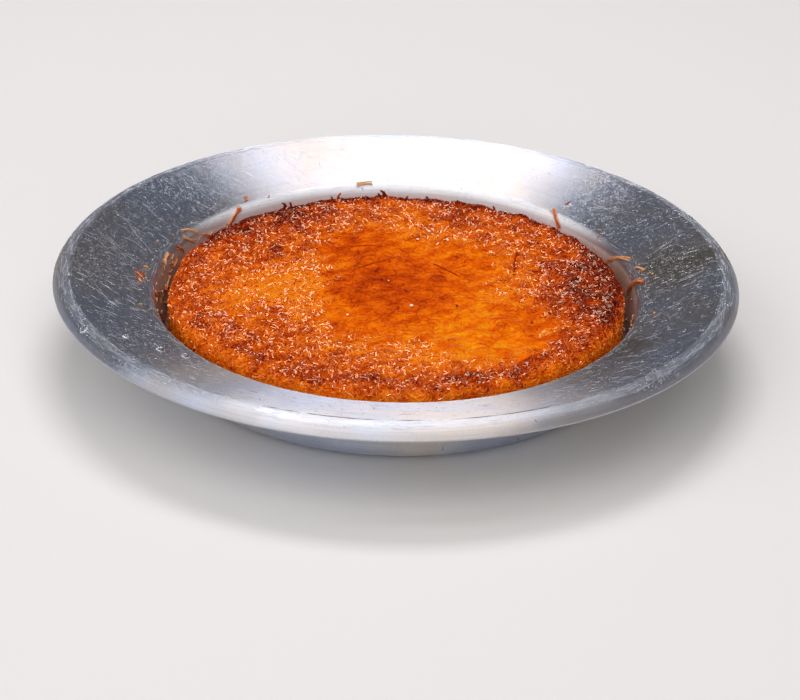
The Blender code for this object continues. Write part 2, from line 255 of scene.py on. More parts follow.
def build_piece(
    name: str, shape: Shape, finish: Finish, slot: str, *replaced: str, smooth: bool = True, **values: Array
) -> Piece:
    """A mesh object at the origin, filled with whole arrays, that rides on the body.

    Args:
        name: the piece's name.
        shape: its mesh.
        finish: its material.
        slot: the record's material slot that the finish is for; not used.
        replaced: the CAD nodes that it stands for.
        smooth: whether it is shaded smooth, and not with flat faces.
        values: one number for each point, under the name of the attribute that holds it.

    Returns:
        The new object.
    """
    points, quads, triangles = shape
    corners = np.concatenate([quads.ravel(), triangles.ravel()]).astype(np.int32)
    starts = np.concatenate([np.arange(len(quads)) * 4, len(quads) * 4 + np.arange(len(triangles)) * 3])
    mesh = bpy.data.meshes.new(name)
    mesh.vertices.add(len(points))
    mesh.vertices.foreach_set("co", points.astype(np.float32).ravel())
    mesh.loops.add(len(corners))
    mesh.loops.foreach_set("vertex_index", corners)
    mesh.polygons.add(len(starts))
    mesh.polygons.foreach_set("loop_start", starts.astype(np.int32))
    mesh.update(calc_edges=True)
    mesh.validate()
    if smooth:
        mesh.shade_smooth()
    else:
        mesh.shade_flat()
    for key, numbers in values.items():
        layer = mesh.attributes.new(key, "FLOAT", "POINT")
        layer.data.foreach_set("value", numbers.astype(np.float32).ravel())
    mesh.materials.append(finish)
    piece = bpy.data.objects.new(name, mesh)
    bpy.context.scene.collection.objects.link(piece)
    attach(piece, BODY)
    if replaced:
        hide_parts(*replaced)
    return piece


@dataclass(frozen=True)
class CakeSkin:
    """The cake's outline and relief, the same as its solid has."""

    radius: float = 77.0 * MM
    top: float = 22.0 * MM
    edge_fillet: float = 3.6 * MM
    floor: float = 1.8 * MM
    foot_fillet: float = 5.6 * MM
    hollow_radius: float = 40.0 * MM
    hollow_depth: float = 0.7 * MM
    edge_wander: float = 0.42 * MM
    edge_waves: tuple = ((3, 0.8, 0.5), (7, 2.1, 0.3), (16, 0.3, 0.35), (27, 1.1, 0.3))
    crag_waves: tuple = ((23.0 * MM, 0.34 * MM), (11.0 * MM, 0.30 * MM), (6.5 * MM, 0.22 * MM))
    waves_each: int = 5
    middle_roughness: float = 0.3
    seed: int = 11

    def plane_waves(self) -> Array:
        """Rows of (kx, ky, phase, height), drawn in the solid's own order.

        Returns:
            (n, 4) numbers.
        """
        draw = random.Random(self.seed)
        rows = []
        for length, height in self.crag_waves:
            for _ in range(self.waves_each):
                way = draw.uniform(0.0, math.tau)
                pitch = math.tau / (length * draw.uniform(0.8, 1.25))
                phase = draw.uniform(0.0, math.tau)
                rows.append((pitch * math.cos(way), pitch * math.sin(way), phase, height))
        return np.array(rows)

    def height(self, x: Array, y: Array) -> Array:
        """The top's height: its level, less the pressed hollow, plus waves that are gentler in the middle.

        Args:
            x, y: places of the unrolled skin, in metres.

        Returns:
            Heights, in the shape of x.
        """
        far, edge = np.hypot(x, y), self.hollow_radius
        kx, ky, phase, size = self.plane_waves().T
        crag = (size * np.sin(x[..., None] * kx + y[..., None] * ky + phase)).sum(axis=-1)
        outside = smooth_step(0.6 * edge, 1.3 * edge, far)
        rough = self.middle_roughness + (1 - self.middle_roughness) * outside
        hollow = self.hollow_depth * (1 - smooth_step(0.5 * edge, 1.5 * edge, far))
        return self.top - hollow + crag * rough / math.sqrt(self.waves_each)

    def outline(self, angle: Array) -> Array:
        """The cake's radius at an angle, which wanders by a few sines as a baked edge does.

        Args:
            angle: angles round the cake, in radians.

        Returns:
            Radii in metres, in the shape of angle.
        """
        wander = sum(share * np.sin(turns * angle + phase) for turns, phase, share in self.edge_waves)
        return self.radius - self.edge_wander * (1 - wander)

    def stations(self) -> tuple[float, float, float]:
        """The mean lengths over the skin from its middle to the edge's bend, the side and the foot.

        Returns:
            The three lengths, in metres.
        """
        bend = math.pi / 2 * self.edge_fillet
        side = self.radius - self.edge_wander - self.edge_fillet + bend
        return side - bend, side, side + self.top - self.edge_fillet - self.floor - self.foot_fillet

    def place(self, x: Array, y: Array, lift: Array | float = 0.0) -> Array:
        """The points over places of the unrolled skin.

        Up to the edge's bend, the skin is the top. Round the bend it turns through arc / fillet, and after
        that it falls straight down the side.

        Args:
            x, y: places of the unrolled skin, in metres.
            lift: how far above the skin the points are, along its outward normal.

        Returns:
            (..., 3) points.
        """
        arc, angle = np.hypot(x, y), np.arctan2(y, x)
        flat = self.outline(angle) - self.edge_fillet
        bend = np.clip((arc - flat) / self.edge_fillet, 0.0, math.pi / 2)
        on_top = np.minimum(arc, flat)
        fall = np.maximum(arc - flat - math.pi / 2 * self.edge_fillet, 0.0)
        level = self.height(*polar(on_top, angle))
        reach = on_top + self.edge_fillet * np.sin(bend) + lift * np.sin(bend)
        rise = level - self.edge_fillet * (1 - np.cos(bend)) - fall + lift * np.cos(bend)
        return around(reach, angle, rise)


@dataclass(frozen=True)
class Toasting:
    """How brown the cake is at each place of its unrolled skin, from 0, pale amber, to 1, nearly black.

    by_reach holds (distance from the middle, brownness), and each patch is (x, y, radius, change). Three
    patches on the left and right sides are painted shade, not browning: they darken the sides where they fall
    in shadow. The top's rim is burnt over arcs: (degrees of its middle, half its width in degrees, change,
    distance out). Lengths in these three tables are in millimetres. Each wave is (length, strength).
    """

    by_reach: tuple = (
        (0.0, 0.53), (10.0, 0.51), (20.0, 0.46), (28.0, 0.38), (36.0, 0.36), (44.0, 0.41), (52.0, 0.49),
        (60.0, 0.555), (68.0, 0.575), (73.0, 0.55), (76.0, 0.45), (79.5, 0.35), (84.0, 0.32),
        (90.0, 0.37),
    )
    patches: tuple = (
        (18, 4, 10, -0.03), (28, -8, 9, -0.10), (22, -27, 12, -0.12), (-16, -20, 9, -0.07),
        (-32, 0, 9, -0.10), (-45, -3, 10, -0.14), (-54, -12, 9, -0.14), (0, 43, 8, -0.06),
        (6, 58, 9, -0.13), (31, -43, 9, -0.22), (18, -50, 9, -0.20), (43, -42, 7, -0.20),
        (43, -30, 7, -0.12), (54, -30, 7, -0.10), (32, -55, 7, -0.12), (5, -56, 8, -0.08),
        (-8, 8, 10, 0.07), (-15, -2, 9, 0.03), (-13, 33, 11, 0.14), (-30, 30, 9, 0.10),
        (-43, 24, 9, 0.15), (-41, 54, 10, 0.26), (-56, 41, 8, 0.22), (-28, 58, 8, 0.14),
        (19, 56, 7, 0.12), (64, 2, 14, 0.29), (67, -17, 8, 0.25), (66, 20, 8, 0.24), (54, -6, 6, 0.14),
        (53, 20, 7, 0.12), (-41, -19, 7, 0.15), (-30, -30, 8, 0.12), (-17, -31, 7, 0.08),
        (-42, -42, 8, 0.06), (-40, 62, 7, 0.10), (22, 71, 12, 0.12), (-27, -63, 6, 0.14),
        # The patches at (-83, 0), (-79, -26) and (84, 2) are painted shade on the cake's left and right sides
        (39, -60, 5, 0.18), (24, -66, 6, 0.16), (57, -35, 5, 0.16), (-83, 0, 11, 0.14),
        (-79, -26, 9, 0.10), (84, 2, 11, 0.12),
    )
    burnt_width: float = 2.6
    burnt_arcs: tuple = (
        (88, 52, 0.52, 74.8), (140, 24, 0.38, 74.6), (20, 26, 0.28, 73.9), (350, 20, 0.18, 73.0),
        (200, 16, 0.10, 70.0), (232, 10, 0.10, 69.0), (262, 9, 0.18, 67.0), (287, 11, 0.20, 67.0),
        (312, 14, 0.17, 68.5),
    )
    waves: tuple = ((13.0 * MM, 0.055), (6.5 * MM, 0.07), (3.2 * MM, 0.035))
    least: float = 0.02
    palest: float = 0.25
    darkest: float = 0.90
    seed: int = 40

    def at(self, x: Array, y: Array) -> Array:
        """Brownness by reach, plus a Gaussian bell for each patch and burnt arc, plus a few waves.

        Args:
            x, y: places of the unrolled skin, in metres.

        Returns:
            Brownness, in the shape of x.
        """
        reach, base = np.array(self.by_reach).T
        away, angle = np.hypot(x, y), np.degrees(np.arctan2(y, x))
        brown = np.interp(away, reach * MM, base)
        for middle, width, change, far in self.burnt_arcs:
            edge = np.exp(-(((away / MM - far) / self.burnt_width) ** 2))
            turn = (angle - middle + 180.0) % 360.0 - 180.0
            brown = brown + change * edge * np.exp(-((turn / width) ** 2))
        for px, py, size, change in self.patches:
            brown = brown + change * np.exp(-((x / MM - px) ** 2 + (y / MM - py) ** 2) / size**2)
        for number, (length, strength) in enumerate(self.waves):
            brown = brown + strength * wave_noise(x, y, length, self.seed + number)
        return np.clip(brown, self.least, self.darkest)


class NodeNet:
    """A node tree with short calls for what is added to it."""

    def __init__(self, tree: Tree) -> None:
        """Starts on a tree."""
        self.tree = tree

    def feed(self, socket: Socket, value: object) -> None:
        """Links a socket to an input, or sets a plain value. A plain colour comes without its alpha of 1.

        Args:
            socket: the input.
            value: an output socket, a number, a vector or a colour.
        """
        if isinstance(value, Socket):
            self.tree.links.new(value, socket)
        else:
            socket.default_value = (*value, 1.0) if socket.type == "RGBA" else value

    def fill(self, node: bpy.types.Node, inputs: dict) -> None:
        """Feeds several inputs of a node, each by its name or number."""
        for key, value in inputs.items():
            self.feed(node.inputs[key], value)

    def add(self, kind: str, inputs: dict | None = None, **settings: object) -> bpy.types.Node:
        """Adds a shader node.

        Args:
            kind: the node's type, without the ShaderNode that every type starts with.
            inputs: a value or an output socket for each input, by name or number.
            settings: the node's own properties.

        Returns:
            The node.
        """
        node = self.tree.nodes.new("ShaderNode" + kind)
        for name, value in settings.items():
            setattr(node, name, value)
        self.fill(node, inputs or {})
        return node

    def math(self, operation: str, first: object, second: object = 0.0, clamp: bool = False) -> Socket:
        """The result of one sum on two numbers."""
        return self.add("Math", {0: first, 1: second}, operation=operation, use_clamp=clamp).outputs[0]

    def times(self, first: object, second: object) -> Socket:
        """The product of two numbers."""
        return self.math("MULTIPLY", first, second)

    def plus(self, first: object, second: object) -> Socket:
        """The sum of two numbers."""
        return self.math("ADD", first, second)

    def most(self, first: object, second: object) -> Socket:
        """The larger of two numbers."""
        return self.math("MAXIMUM", first, second)

    def spread(
        self, value: Socket, low: float, high: float, to_low: object = 0.0, to_high: object = 1.0
    ) -> Socket:
        """value taken smoothly and clamped from low..high to to_low..to_high."""
        ends = {"Value": value, "From Min": low, "From Max": high, "To Min": to_low, "To Max": to_high}
        return self.add("MapRange", ends, interpolation_type="SMOOTHSTEP").outputs["Result"]

    def mix(self, share: Socket, first: Socket | Colour, second: Socket | Colour) -> Socket:
        """first turning into second, two colours, as share rises."""
        return self.add("Mix", {"Factor": share, 6: first, 7: second}, data_type="RGBA").outputs[2]

    def noise(self, places: Socket, scale: object, detail: object = 2.0) -> Socket:
        """Soft noise over places."""
        return self.add("TexNoise", {"Vector": places, "Scale": scale, "Detail": detail}).outputs[0]

    def bump(self, height: Socket, distance: float) -> Socket:
        """The normal of a surface with a height on it."""
        return self.add("Bump", {"Height": height, "Distance": distance, "Strength": 1.0}).outputs["Normal"]

    def group(self, tree: Tree, values: dict) -> Socket:
        """What a node group gives for its own values."""
        return self.add("Group", values, node_tree=tree).outputs[0]


def new_group(name: str, inputs: dict[str, float | None], output: str, colour: bool = False) -> tuple:
    """Starts a node group.

    Args:
        name: the group's name.
        inputs: a default for each number that goes in, or None for a vector.
        output: the name of what comes out.
        colour: whether that is a colour, and not a number.

    Returns:
        (net, the sockets of what goes in, the socket to feed the result to).
    """
    tree = bpy.data.node_groups.new(name, "ShaderNodeTree")
    for key, default in inputs.items():
        kind = "NodeSocketVector" if default is None else "NodeSocketFloat"
        socket = tree.interface.new_socket(key, in_out="INPUT", socket_type=kind)
        if default is not None:
            socket.default_value = default
    out_kind = "NodeSocketColor" if colour else "NodeSocketFloat"
    tree.interface.new_socket(output, in_out="OUTPUT", socket_type=out_kind)
    entry, result = tree.nodes.new("NodeGroupInput"), tree.nodes.new("NodeGroupOutput")
    return NodeNet(tree), entry.outputs, result.inputs[output]


class Patterns:
    """The shader node groups that the finishes share, each built once."""

    def __init__(self) -> None:
        """Builds every group."""
        self.dashes, self.blotches = self.build_dashes(), self.build_blotches()
        self.baked_colour, self.grain = self.build_baked_colour(), self.build_grain()

    @staticmethod
    def build_dashes() -> Tree:
        """Short straight marks: cells stretched along one direction, some of them with a thin bright core.

        Returns:
            The group.
        """
        ends = {"Vector": None, "Turn": 0.0, "Along": 100.0, "Across": 1000.0, "Width": 0.1, "Keep": 0.5}
        net, given, result = new_group("dashes", ends, "Mask")
        ends = {"Vector": given["Vector"], "Angle": given["Turn"]}
        turned = net.add("VectorRotate", ends, rotation_type="Z_AXIS").outputs[0]
        pitch = net.add("CombineXYZ", {0: given["Along"], 1: given["Across"]}).outputs[0]
        scaled = net.add("VectorMath", {0: turned, 1: pitch}, operation="MULTIPLY").outputs[0]
        cells = net.add("TexVoronoi", {"Vector": scaled, "Scale": 1.0}, voronoi_dimensions="2D").outputs
        core = net.spread(net.math("DIVIDE", cells["Distance"], given["Width"]), 1.0, 0.35)
        draws = net.add("SeparateColor", {"Color": cells["Color"]}).outputs
        kept = net.math("LESS_THAN", draws[0], given["Keep"])
        strength = net.times(kept, net.spread(draws[1], 0.0, 1.0, 0.12, 1.0))
        net.feed(result, net.times(core, strength))
        return net.tree

    @staticmethod
    def build_blotches() -> Tree:
        """Soft uneven patches: noise with its low and high ends cut off.

        Returns:
            The group.
        """
        ends = {"Vector": None, "Scale": 30.0, "Detail": 3.0, "Low": 0.45, "High": 0.65}
        net, given, result = new_group("blotches", ends, "Mask")
        noise = net.noise(given["Vector"], given["Scale"], given["Detail"])
        above = net.math("SUBTRACT", noise, given["Low"])
        room = net.math("SUBTRACT", given["High"], given["Low"])
        net.feed(result, net.math("DIVIDE", above, room, clamp=True))
        return net.tree

    @staticmethod
    def build_baked_colour() -> Tree:
        """The colour of syrup-soaked pastry at a brownness: amber, orange, brown, then nearly black.

        Returns:
            The group.
        """
        stops = (
            (0.0, (0.90, 0.47, 0.016)), (0.15, (0.90, 0.31, 0.004)), (0.30, (0.87, 0.190, 0.002)),
            (0.45, (0.74, 0.106, 0.001)), (0.60, (0.54, 0.059, 0.001)), (0.75, (0.35, 0.028, 0.001)),
            (0.90, (0.14, 0.010, 0.002)), (1.0, (0.055, 0.007, 0.003)),
        )
        net, given, result = new_group("baked_colour", {"Brownness": 0.4}, "Color", colour=True)
        ramp = net.add("ValToRGB", {"Fac": given["Brownness"]})
        while len(ramp.color_ramp.elements) < len(stops):
            ramp.color_ramp.elements.new(0.5)
        for element, (place, colour) in zip(ramp.color_ramp.elements, stops):
            element.position, element.color = place, (*colour, 1.0)
        net.feed(result, ramp.outputs["Color"])
        return net.tree

    @staticmethod
    def build_grain() -> Tree:
        """A fine uneven height: two sizes of noise, the finer one weaker.

        Returns:
            The group.
        """
        net, given, result = new_group("grain", {"Vector": None, "Scale": 800.0}, "Height")
        finer = net.noise(given["Vector"], net.times(given["Scale"], 3.1))
        net.feed(result, net.plus(net.noise(given["Vector"], given["Scale"]), net.times(finer, 0.4)))
        return net.tree

    def marked(self, net: NodeNet, places: Socket, row: tuple) -> Socket:
        """Marks over places.

        A row is (degrees turned, cells a metre along, the same across, width in cells, share kept).

        Args:
            net: the material's net.
            places: the places, in metres.
            row: the row.

        Returns:
            How strong the mark is at each place.
        """
        turn, along, across, width, keep = row
        ends = {"Vector": places, "Turn": math.radians(turn), "Along": along, "Across": across}
        return net.group(self.dashes, {**ends, "Width": width, "Keep": keep})

    def blotched(self, net: NodeNet, places: Socket, row: tuple) -> Socket:
        """Patches over places.

        A row is (cells a metre, detail, the noise where they start, the noise where they are full).

        Args:
            net: the material's net.
            places: the places, in metres.
            row: the row.

        Returns:
            How full the patch is at each place.
        """
        ends = dict(zip(("Scale", "Detail", "Low", "High"), row))
        return net.group(self.blotches, {"Vector": places, **ends})


def new_material(name: str) -> tuple[Finish, NodeNet, bpy.types.Node]:
    """A material with a Principled shader.

    Args:
        name: the material's name.

    Returns:
        (the material, its net, the shader).
    """
    finish = bpy.data.materials.new(name)
    finish.use_nodes = True
    return finish, NodeNet(finish.node_tree), finish.node_tree.nodes["Principled BSDF"]


@dataclass(frozen=True)
class WornAluminium:
    """Spun aluminium that years of ovens and spoons have dulled, stained and scratched.

    The rows of patches and marks are as Patterns takes them. The wall's colour is painted: near white at the
    back, a painted reflection of the light, and brownish at the front, a film of syrup with the cake's
    reflection painted in. wall_metal is how metallic the wall is at the front and at the back. The lip's
    crease is darkened at the front by painted shade in its groove, with some soiling. A look's span is where
    it starts and where it is full: in y for the back and the crease's painted shade, and past the mouth's
    edge for the wall and its bend.
    """

    bluish: Colour = (0.62, 0.67, 0.79)
    warm: Colour = (0.72, 0.65, 0.60)
    # The wall's two colours: near white is a painted reflection of the light at the back, and the brown is a
    # syrup film with the cake's reflection painted in
    wall: Colour = (0.97, 0.98, 1.0)
    syrup_film_and_reflection: Colour = (0.44, 0.30, 0.21)
    stain: Colour = (0.42, 0.34, 0.20)
    mark: Colour = (0.72, 0.78, 0.90)
    # Near-black colour for the crease's painted shade and for the real dark pits
    grime_and_shade: Colour = (0.045, 0.035, 0.030)
    shade: Colour = (0.36, 0.37, 0.42)
    wall_metal: Span = (0.10, 0.16)
    roughness: float = 0.33
    anisotropy: float = 1.0
    metal: float = 0.94
    mark_metal: float = 0.42
    warm_patches: tuple = (24.0, 6.0, 0.40, 0.62)
    stain_patches: tuple = (19.0, 4.0, 0.62, 0.72)
    worn_patches: tuple = (55.0, 4.0, 0.36, 0.66)
    crease_breaks: tuple = (95.0, 4.0, 0.38, 0.54)
    pits: tuple = (math.degrees(0.7), 160.0, 330.0, 0.09, 0.07)
    round_marks: tuple = (0, 55, 3000, 0.34, 0.55)
    scratches: tuple = (
        (22, 240, 2500, 0.24, 0.36), (-38, 220, 2300, 0.22, 0.36), (68, 280, 2600, 0.24, 0.34),
        (101, 320, 2700, 0.26, 0.34), (-12, 380, 2500, 0.26, 0.34), (48, 800, 2300, 0.24, 0.24),
    )
    brushing_pitch: tuple = (22.0, 2600.0, 0.0)
    crest_past_lip: float = 3.0 * MM
    crest_width: float = 2.9 * MM
    mouth_width: float = 2.4 * MM
    crease_width: float = 0.56 * MM
    bump_depth: float = 0.02 * MM
    back_span: Span = (0.022, 0.062)
    crease_span: Span = (-0.084, -0.103)
    bend_span: Span = (2.8 * MM, 0.2 * MM)
    wall_span: Span = (-0.5 * MM, -3.5 * MM)

    def build(self, patterns: Patterns, mouth_at: float, lip_at: float, groove_at: float) -> Finish:
        """Builds the material.

        Args:
            patterns: the shared node groups.
            mouth_at: the length over the sheet from its middle to the mouth's edge.
            lip_at: the same, to the start of the lip's bend.
            groove_at: the same, to the groove in that bend.

        Returns:
            The material, for a piece whose UV map holds (length round, length over the sheet) in metres.
        """
        finish, net, shader = new_material("worn_aluminium")
        where = net.add("TexCoord").outputs["Object"]
        wrapped = net.add("UVMap", uv_map="sheet").outputs["UV"]
        over = net.add("SeparateXYZ", {0: wrapped}).outputs[1]
        back = net.add("SeparateXYZ", {0: where}).outputs[1]
        crest = self.band(net, over, lip_at + self.crest_past_lip, self.crest_width)
        worn_edges = net.most(net.times(self.band(net, over, mouth_at, self.mouth_width), 0.5), crest)
        at_back = net.spread(back, *self.back_span)
        in_bend = net.times(net.spread(over, *(mouth_at + past for past in self.bend_span)), at_back)
        in_wall = net.most(net.spread(over, *(mouth_at + past for past in self.wall_span)), in_bend)
        scratch = self.scratch_mask(net, patterns, where, wrapped, worn_edges)
        brushed = self.brushing(net, wrapped)
        warm = patterns.blotched(net, where, self.warm_patches)
        stained = patterns.blotched(net, where, self.stain_patches)
        colour = net.mix(warm, self.bluish, self.warm)
        colour = net.mix(net.times(stained, 0.7), colour, self.stain)
        colour = net.mix(net.times(worn_edges, 0.35), colour, self.mark)
        # Painted reflection on the nearly matte wall: near white at the back and on its bend, brownish at the
        # front where the cake is reflected
        colour = net.mix(in_wall, colour, net.mix(at_back, self.syrup_film_and_reflection, self.wall))
        colour = net.mix(net.times(brushed, 0.30), colour, self.shade)
        colour = net.mix(scratch, colour, self.mark)
        # The lip's crease, darkened at the front only: painted shade in its groove, with some soiling; the
        # pits are real dark marks
        broken = patterns.blotched(net, where, self.crease_breaks)
        crease = net.times(self.band(net, over, groove_at, self.crease_width), broken)
        crease = net.times(crease, net.spread(back, *self.crease_span))
        grime_and_crease_shade = net.most(crease, patterns.marked(net, where, self.pits))
        colour = net.mix(net.times(grime_and_crease_shade, 0.85), colour, self.grime_and_shade)
        worn = net.most(scratch, net.times(worn_edges, 0.30))
        metal = net.spread(worn, 0.0, 1.0, self.metal, self.mark_metal)
        walled = net.spread(in_wall, 0.0, 1.0, self.metal, net.spread(at_back, 0.0, 1.0, *self.wall_metal))
        metal = net.math("SUBTRACT", net.math("MINIMUM", metal, walled), net.times(grime_and_crease_shade, 0.3), clamp=True)
        rough = net.plus(net.plus(net.times(warm, 0.06), self.roughness), net.times(scratch, 0.20))
        tangent = net.add("Tangent", direction_type="UV_MAP", uv_map="sheet").outputs[0]
        normal = net.bump(net.math("SUBTRACT", net.times(brushed, 0.10), scratch), self.bump_depth)
        net.fill(shader, {
            "Base Color": colour, "Metallic": metal, "Roughness": rough, "Anisotropic": self.anisotropy,
            "Anisotropic Rotation": 0.25, "Tangent": tangent, "Normal": normal,
        })
        return finish

    @staticmethod
    def band(net: NodeNet, over: Socket, middle: float, half_width: float) -> Socket:
        """1 at a length over the sheet, falling to 0 at half a width to either side."""
        off = net.math("ABSOLUTE", net.math("SUBTRACT", over, middle))
        return net.spread(off, half_width, 0.3 * half_width)

    def scratch_mask(
        self, net: NodeNet, patterns: Patterns, where: Socket, wrapped: Socket, worn_edges: Socket
    ) -> Socket:
        """The strongest of all scratches, thinned where the metal is less worn and dense along its edges.

        Args:
            net: the material's net.
            patterns: the shared node groups.
            where: places on the pan.
            wrapped: places on its unrolled sheet.
            worn_edges: how worn the edges are.

        Returns:
            How scratched each place is, from 0 to 1.
        """
        total = patterns.marked(net, where, self.scratches[0])
        for row in self.scratches[1:]:
            total = net.most(total, patterns.marked(net, where, row))
        worn = net.plus(net.times(patterns.blotched(net, where, self.worn_patches), 0.60), 0.30)
        total = net.times(total, net.most(worn, net.times(worn_edges, 0.6)))
        share = net.plus(net.times(worn_edges, 0.65), 0.35)
        return net.most(total, net.times(patterns.marked(net, wrapped, self.round_marks), share))

    def brushing(self, net: NodeNet, wrapped: Socket) -> Socket:
        """Fine lines that run round the pan: noise stretched along the way round."""
        places = net.add("VectorMath", {0: wrapped, 1: self.brushing_pitch}, operation="MULTIPLY").outputs[0]
        return net.spread(net.noise(places, 1.0), 0.35, 0.70)


@dataclass(frozen=True)
class ScoredMetal:
    """The raw metal in a scratch, from dark to bright by the piece's own shine attribute.

    Its bright end also paints the highlights round the syrup droplets.
    """

    dark: Colour = (0.05, 0.045, 0.04)
    bright: Colour = (0.86, 0.89, 0.96)
    roughness: float = 0.34
    metal: float = 0.38

    def build(self) -> Finish:
        """Builds the material, for a piece with a "shine" attribute.

        Returns:
            The material.
        """
        finish, net, shader = new_material("scored_metal")
        colour = net.mix(net.add("Attribute", attribute_name="shine").outputs["Fac"], self.dark, self.bright)
        net.fill(shader, {"Base Color": colour, "Roughness": self.roughness, "Metallic": self.metal})
        return finish


@dataclass(frozen=True)
class BakedPastry:
    """Baked pastry wet with syrup, coloured by the piece's own brownness attribute.

    The colour is mottled by a little more or less brownness. Where dryness is over 0, pale places turn to the
    dry colour by up to that share, and burnt places never do.
    """

    name: str
    gloss: float = 0.5
    roughness: float = 0.11
    burnt_roughness: float = 0.16
    refraction: float = 1.6
    syrup_tint: Colour = (1.0, 0.81, 0.54)
    mottle: float = 0.12
    mottle_scale: float = 700.0
    grain_scale: float = 900.0
    grain_depth: float = 0.04 * MM
    dryness: float = 0.0
    dry_colour: Colour = (0.70, 0.47, 0.25)

    def build(self, patterns: Patterns) -> Finish:
        """Builds the material.

        Args:
            patterns: the shared node groups.

        Returns:
            The material, for a piece with a "brownness" attribute.
        """
        finish, net, shader = new_material(self.name)
        where = net.add("TexCoord").outputs["Object"]
        brown = net.add("Attribute", attribute_name="brownness").outputs["Fac"]
        change = net.spread(net.noise(where, self.mottle_scale, 3.0), 0.25, 0.75, -self.mottle, self.mottle)
        colour = net.group(patterns.baked_colour, {"Brownness": net.math("ADD", brown, change, clamp=True)})
        if self.dryness:
            colour = net.mix(net.times(net.spread(brown, 0.75, 0.15), self.dryness), colour, self.dry_colour)
        height = net.group(patterns.grain, {"Vector": where, "Scale": self.grain_scale})
        burnt = max(self.roughness, self.burnt_roughness)
        net.fill(shader, {
            "Base Color": colour, "Roughness": net.spread(brown, 0.62, 0.92, self.roughness, burnt),
            "Specular IOR Level": self.gloss, "Specular Tint": self.syrup_tint, "IOR": self.refraction,
            "Normal": net.bump(height, self.grain_depth),
        })
        return finish


@dataclass(frozen=True)
class ClearSyrup:
    """Sugar syrup: clear, smooth and tinted by how thick it lies."""

    name: str
    colour: Colour
    roughness: float = 0.03
    refraction: float = 1.46

    def build(self) -> Finish:
        """The material: plain glass-like transmission with syrup's refraction.

        Returns:
            The material.
        """
        finish, net, shader = new_material(self.name)
        net.fill(shader, {"Base Color": self.colour, "Roughness": self.roughness, "IOR": self.refraction})
        net.fill(shader, {"Transmission Weight": 1.0})
        return finish


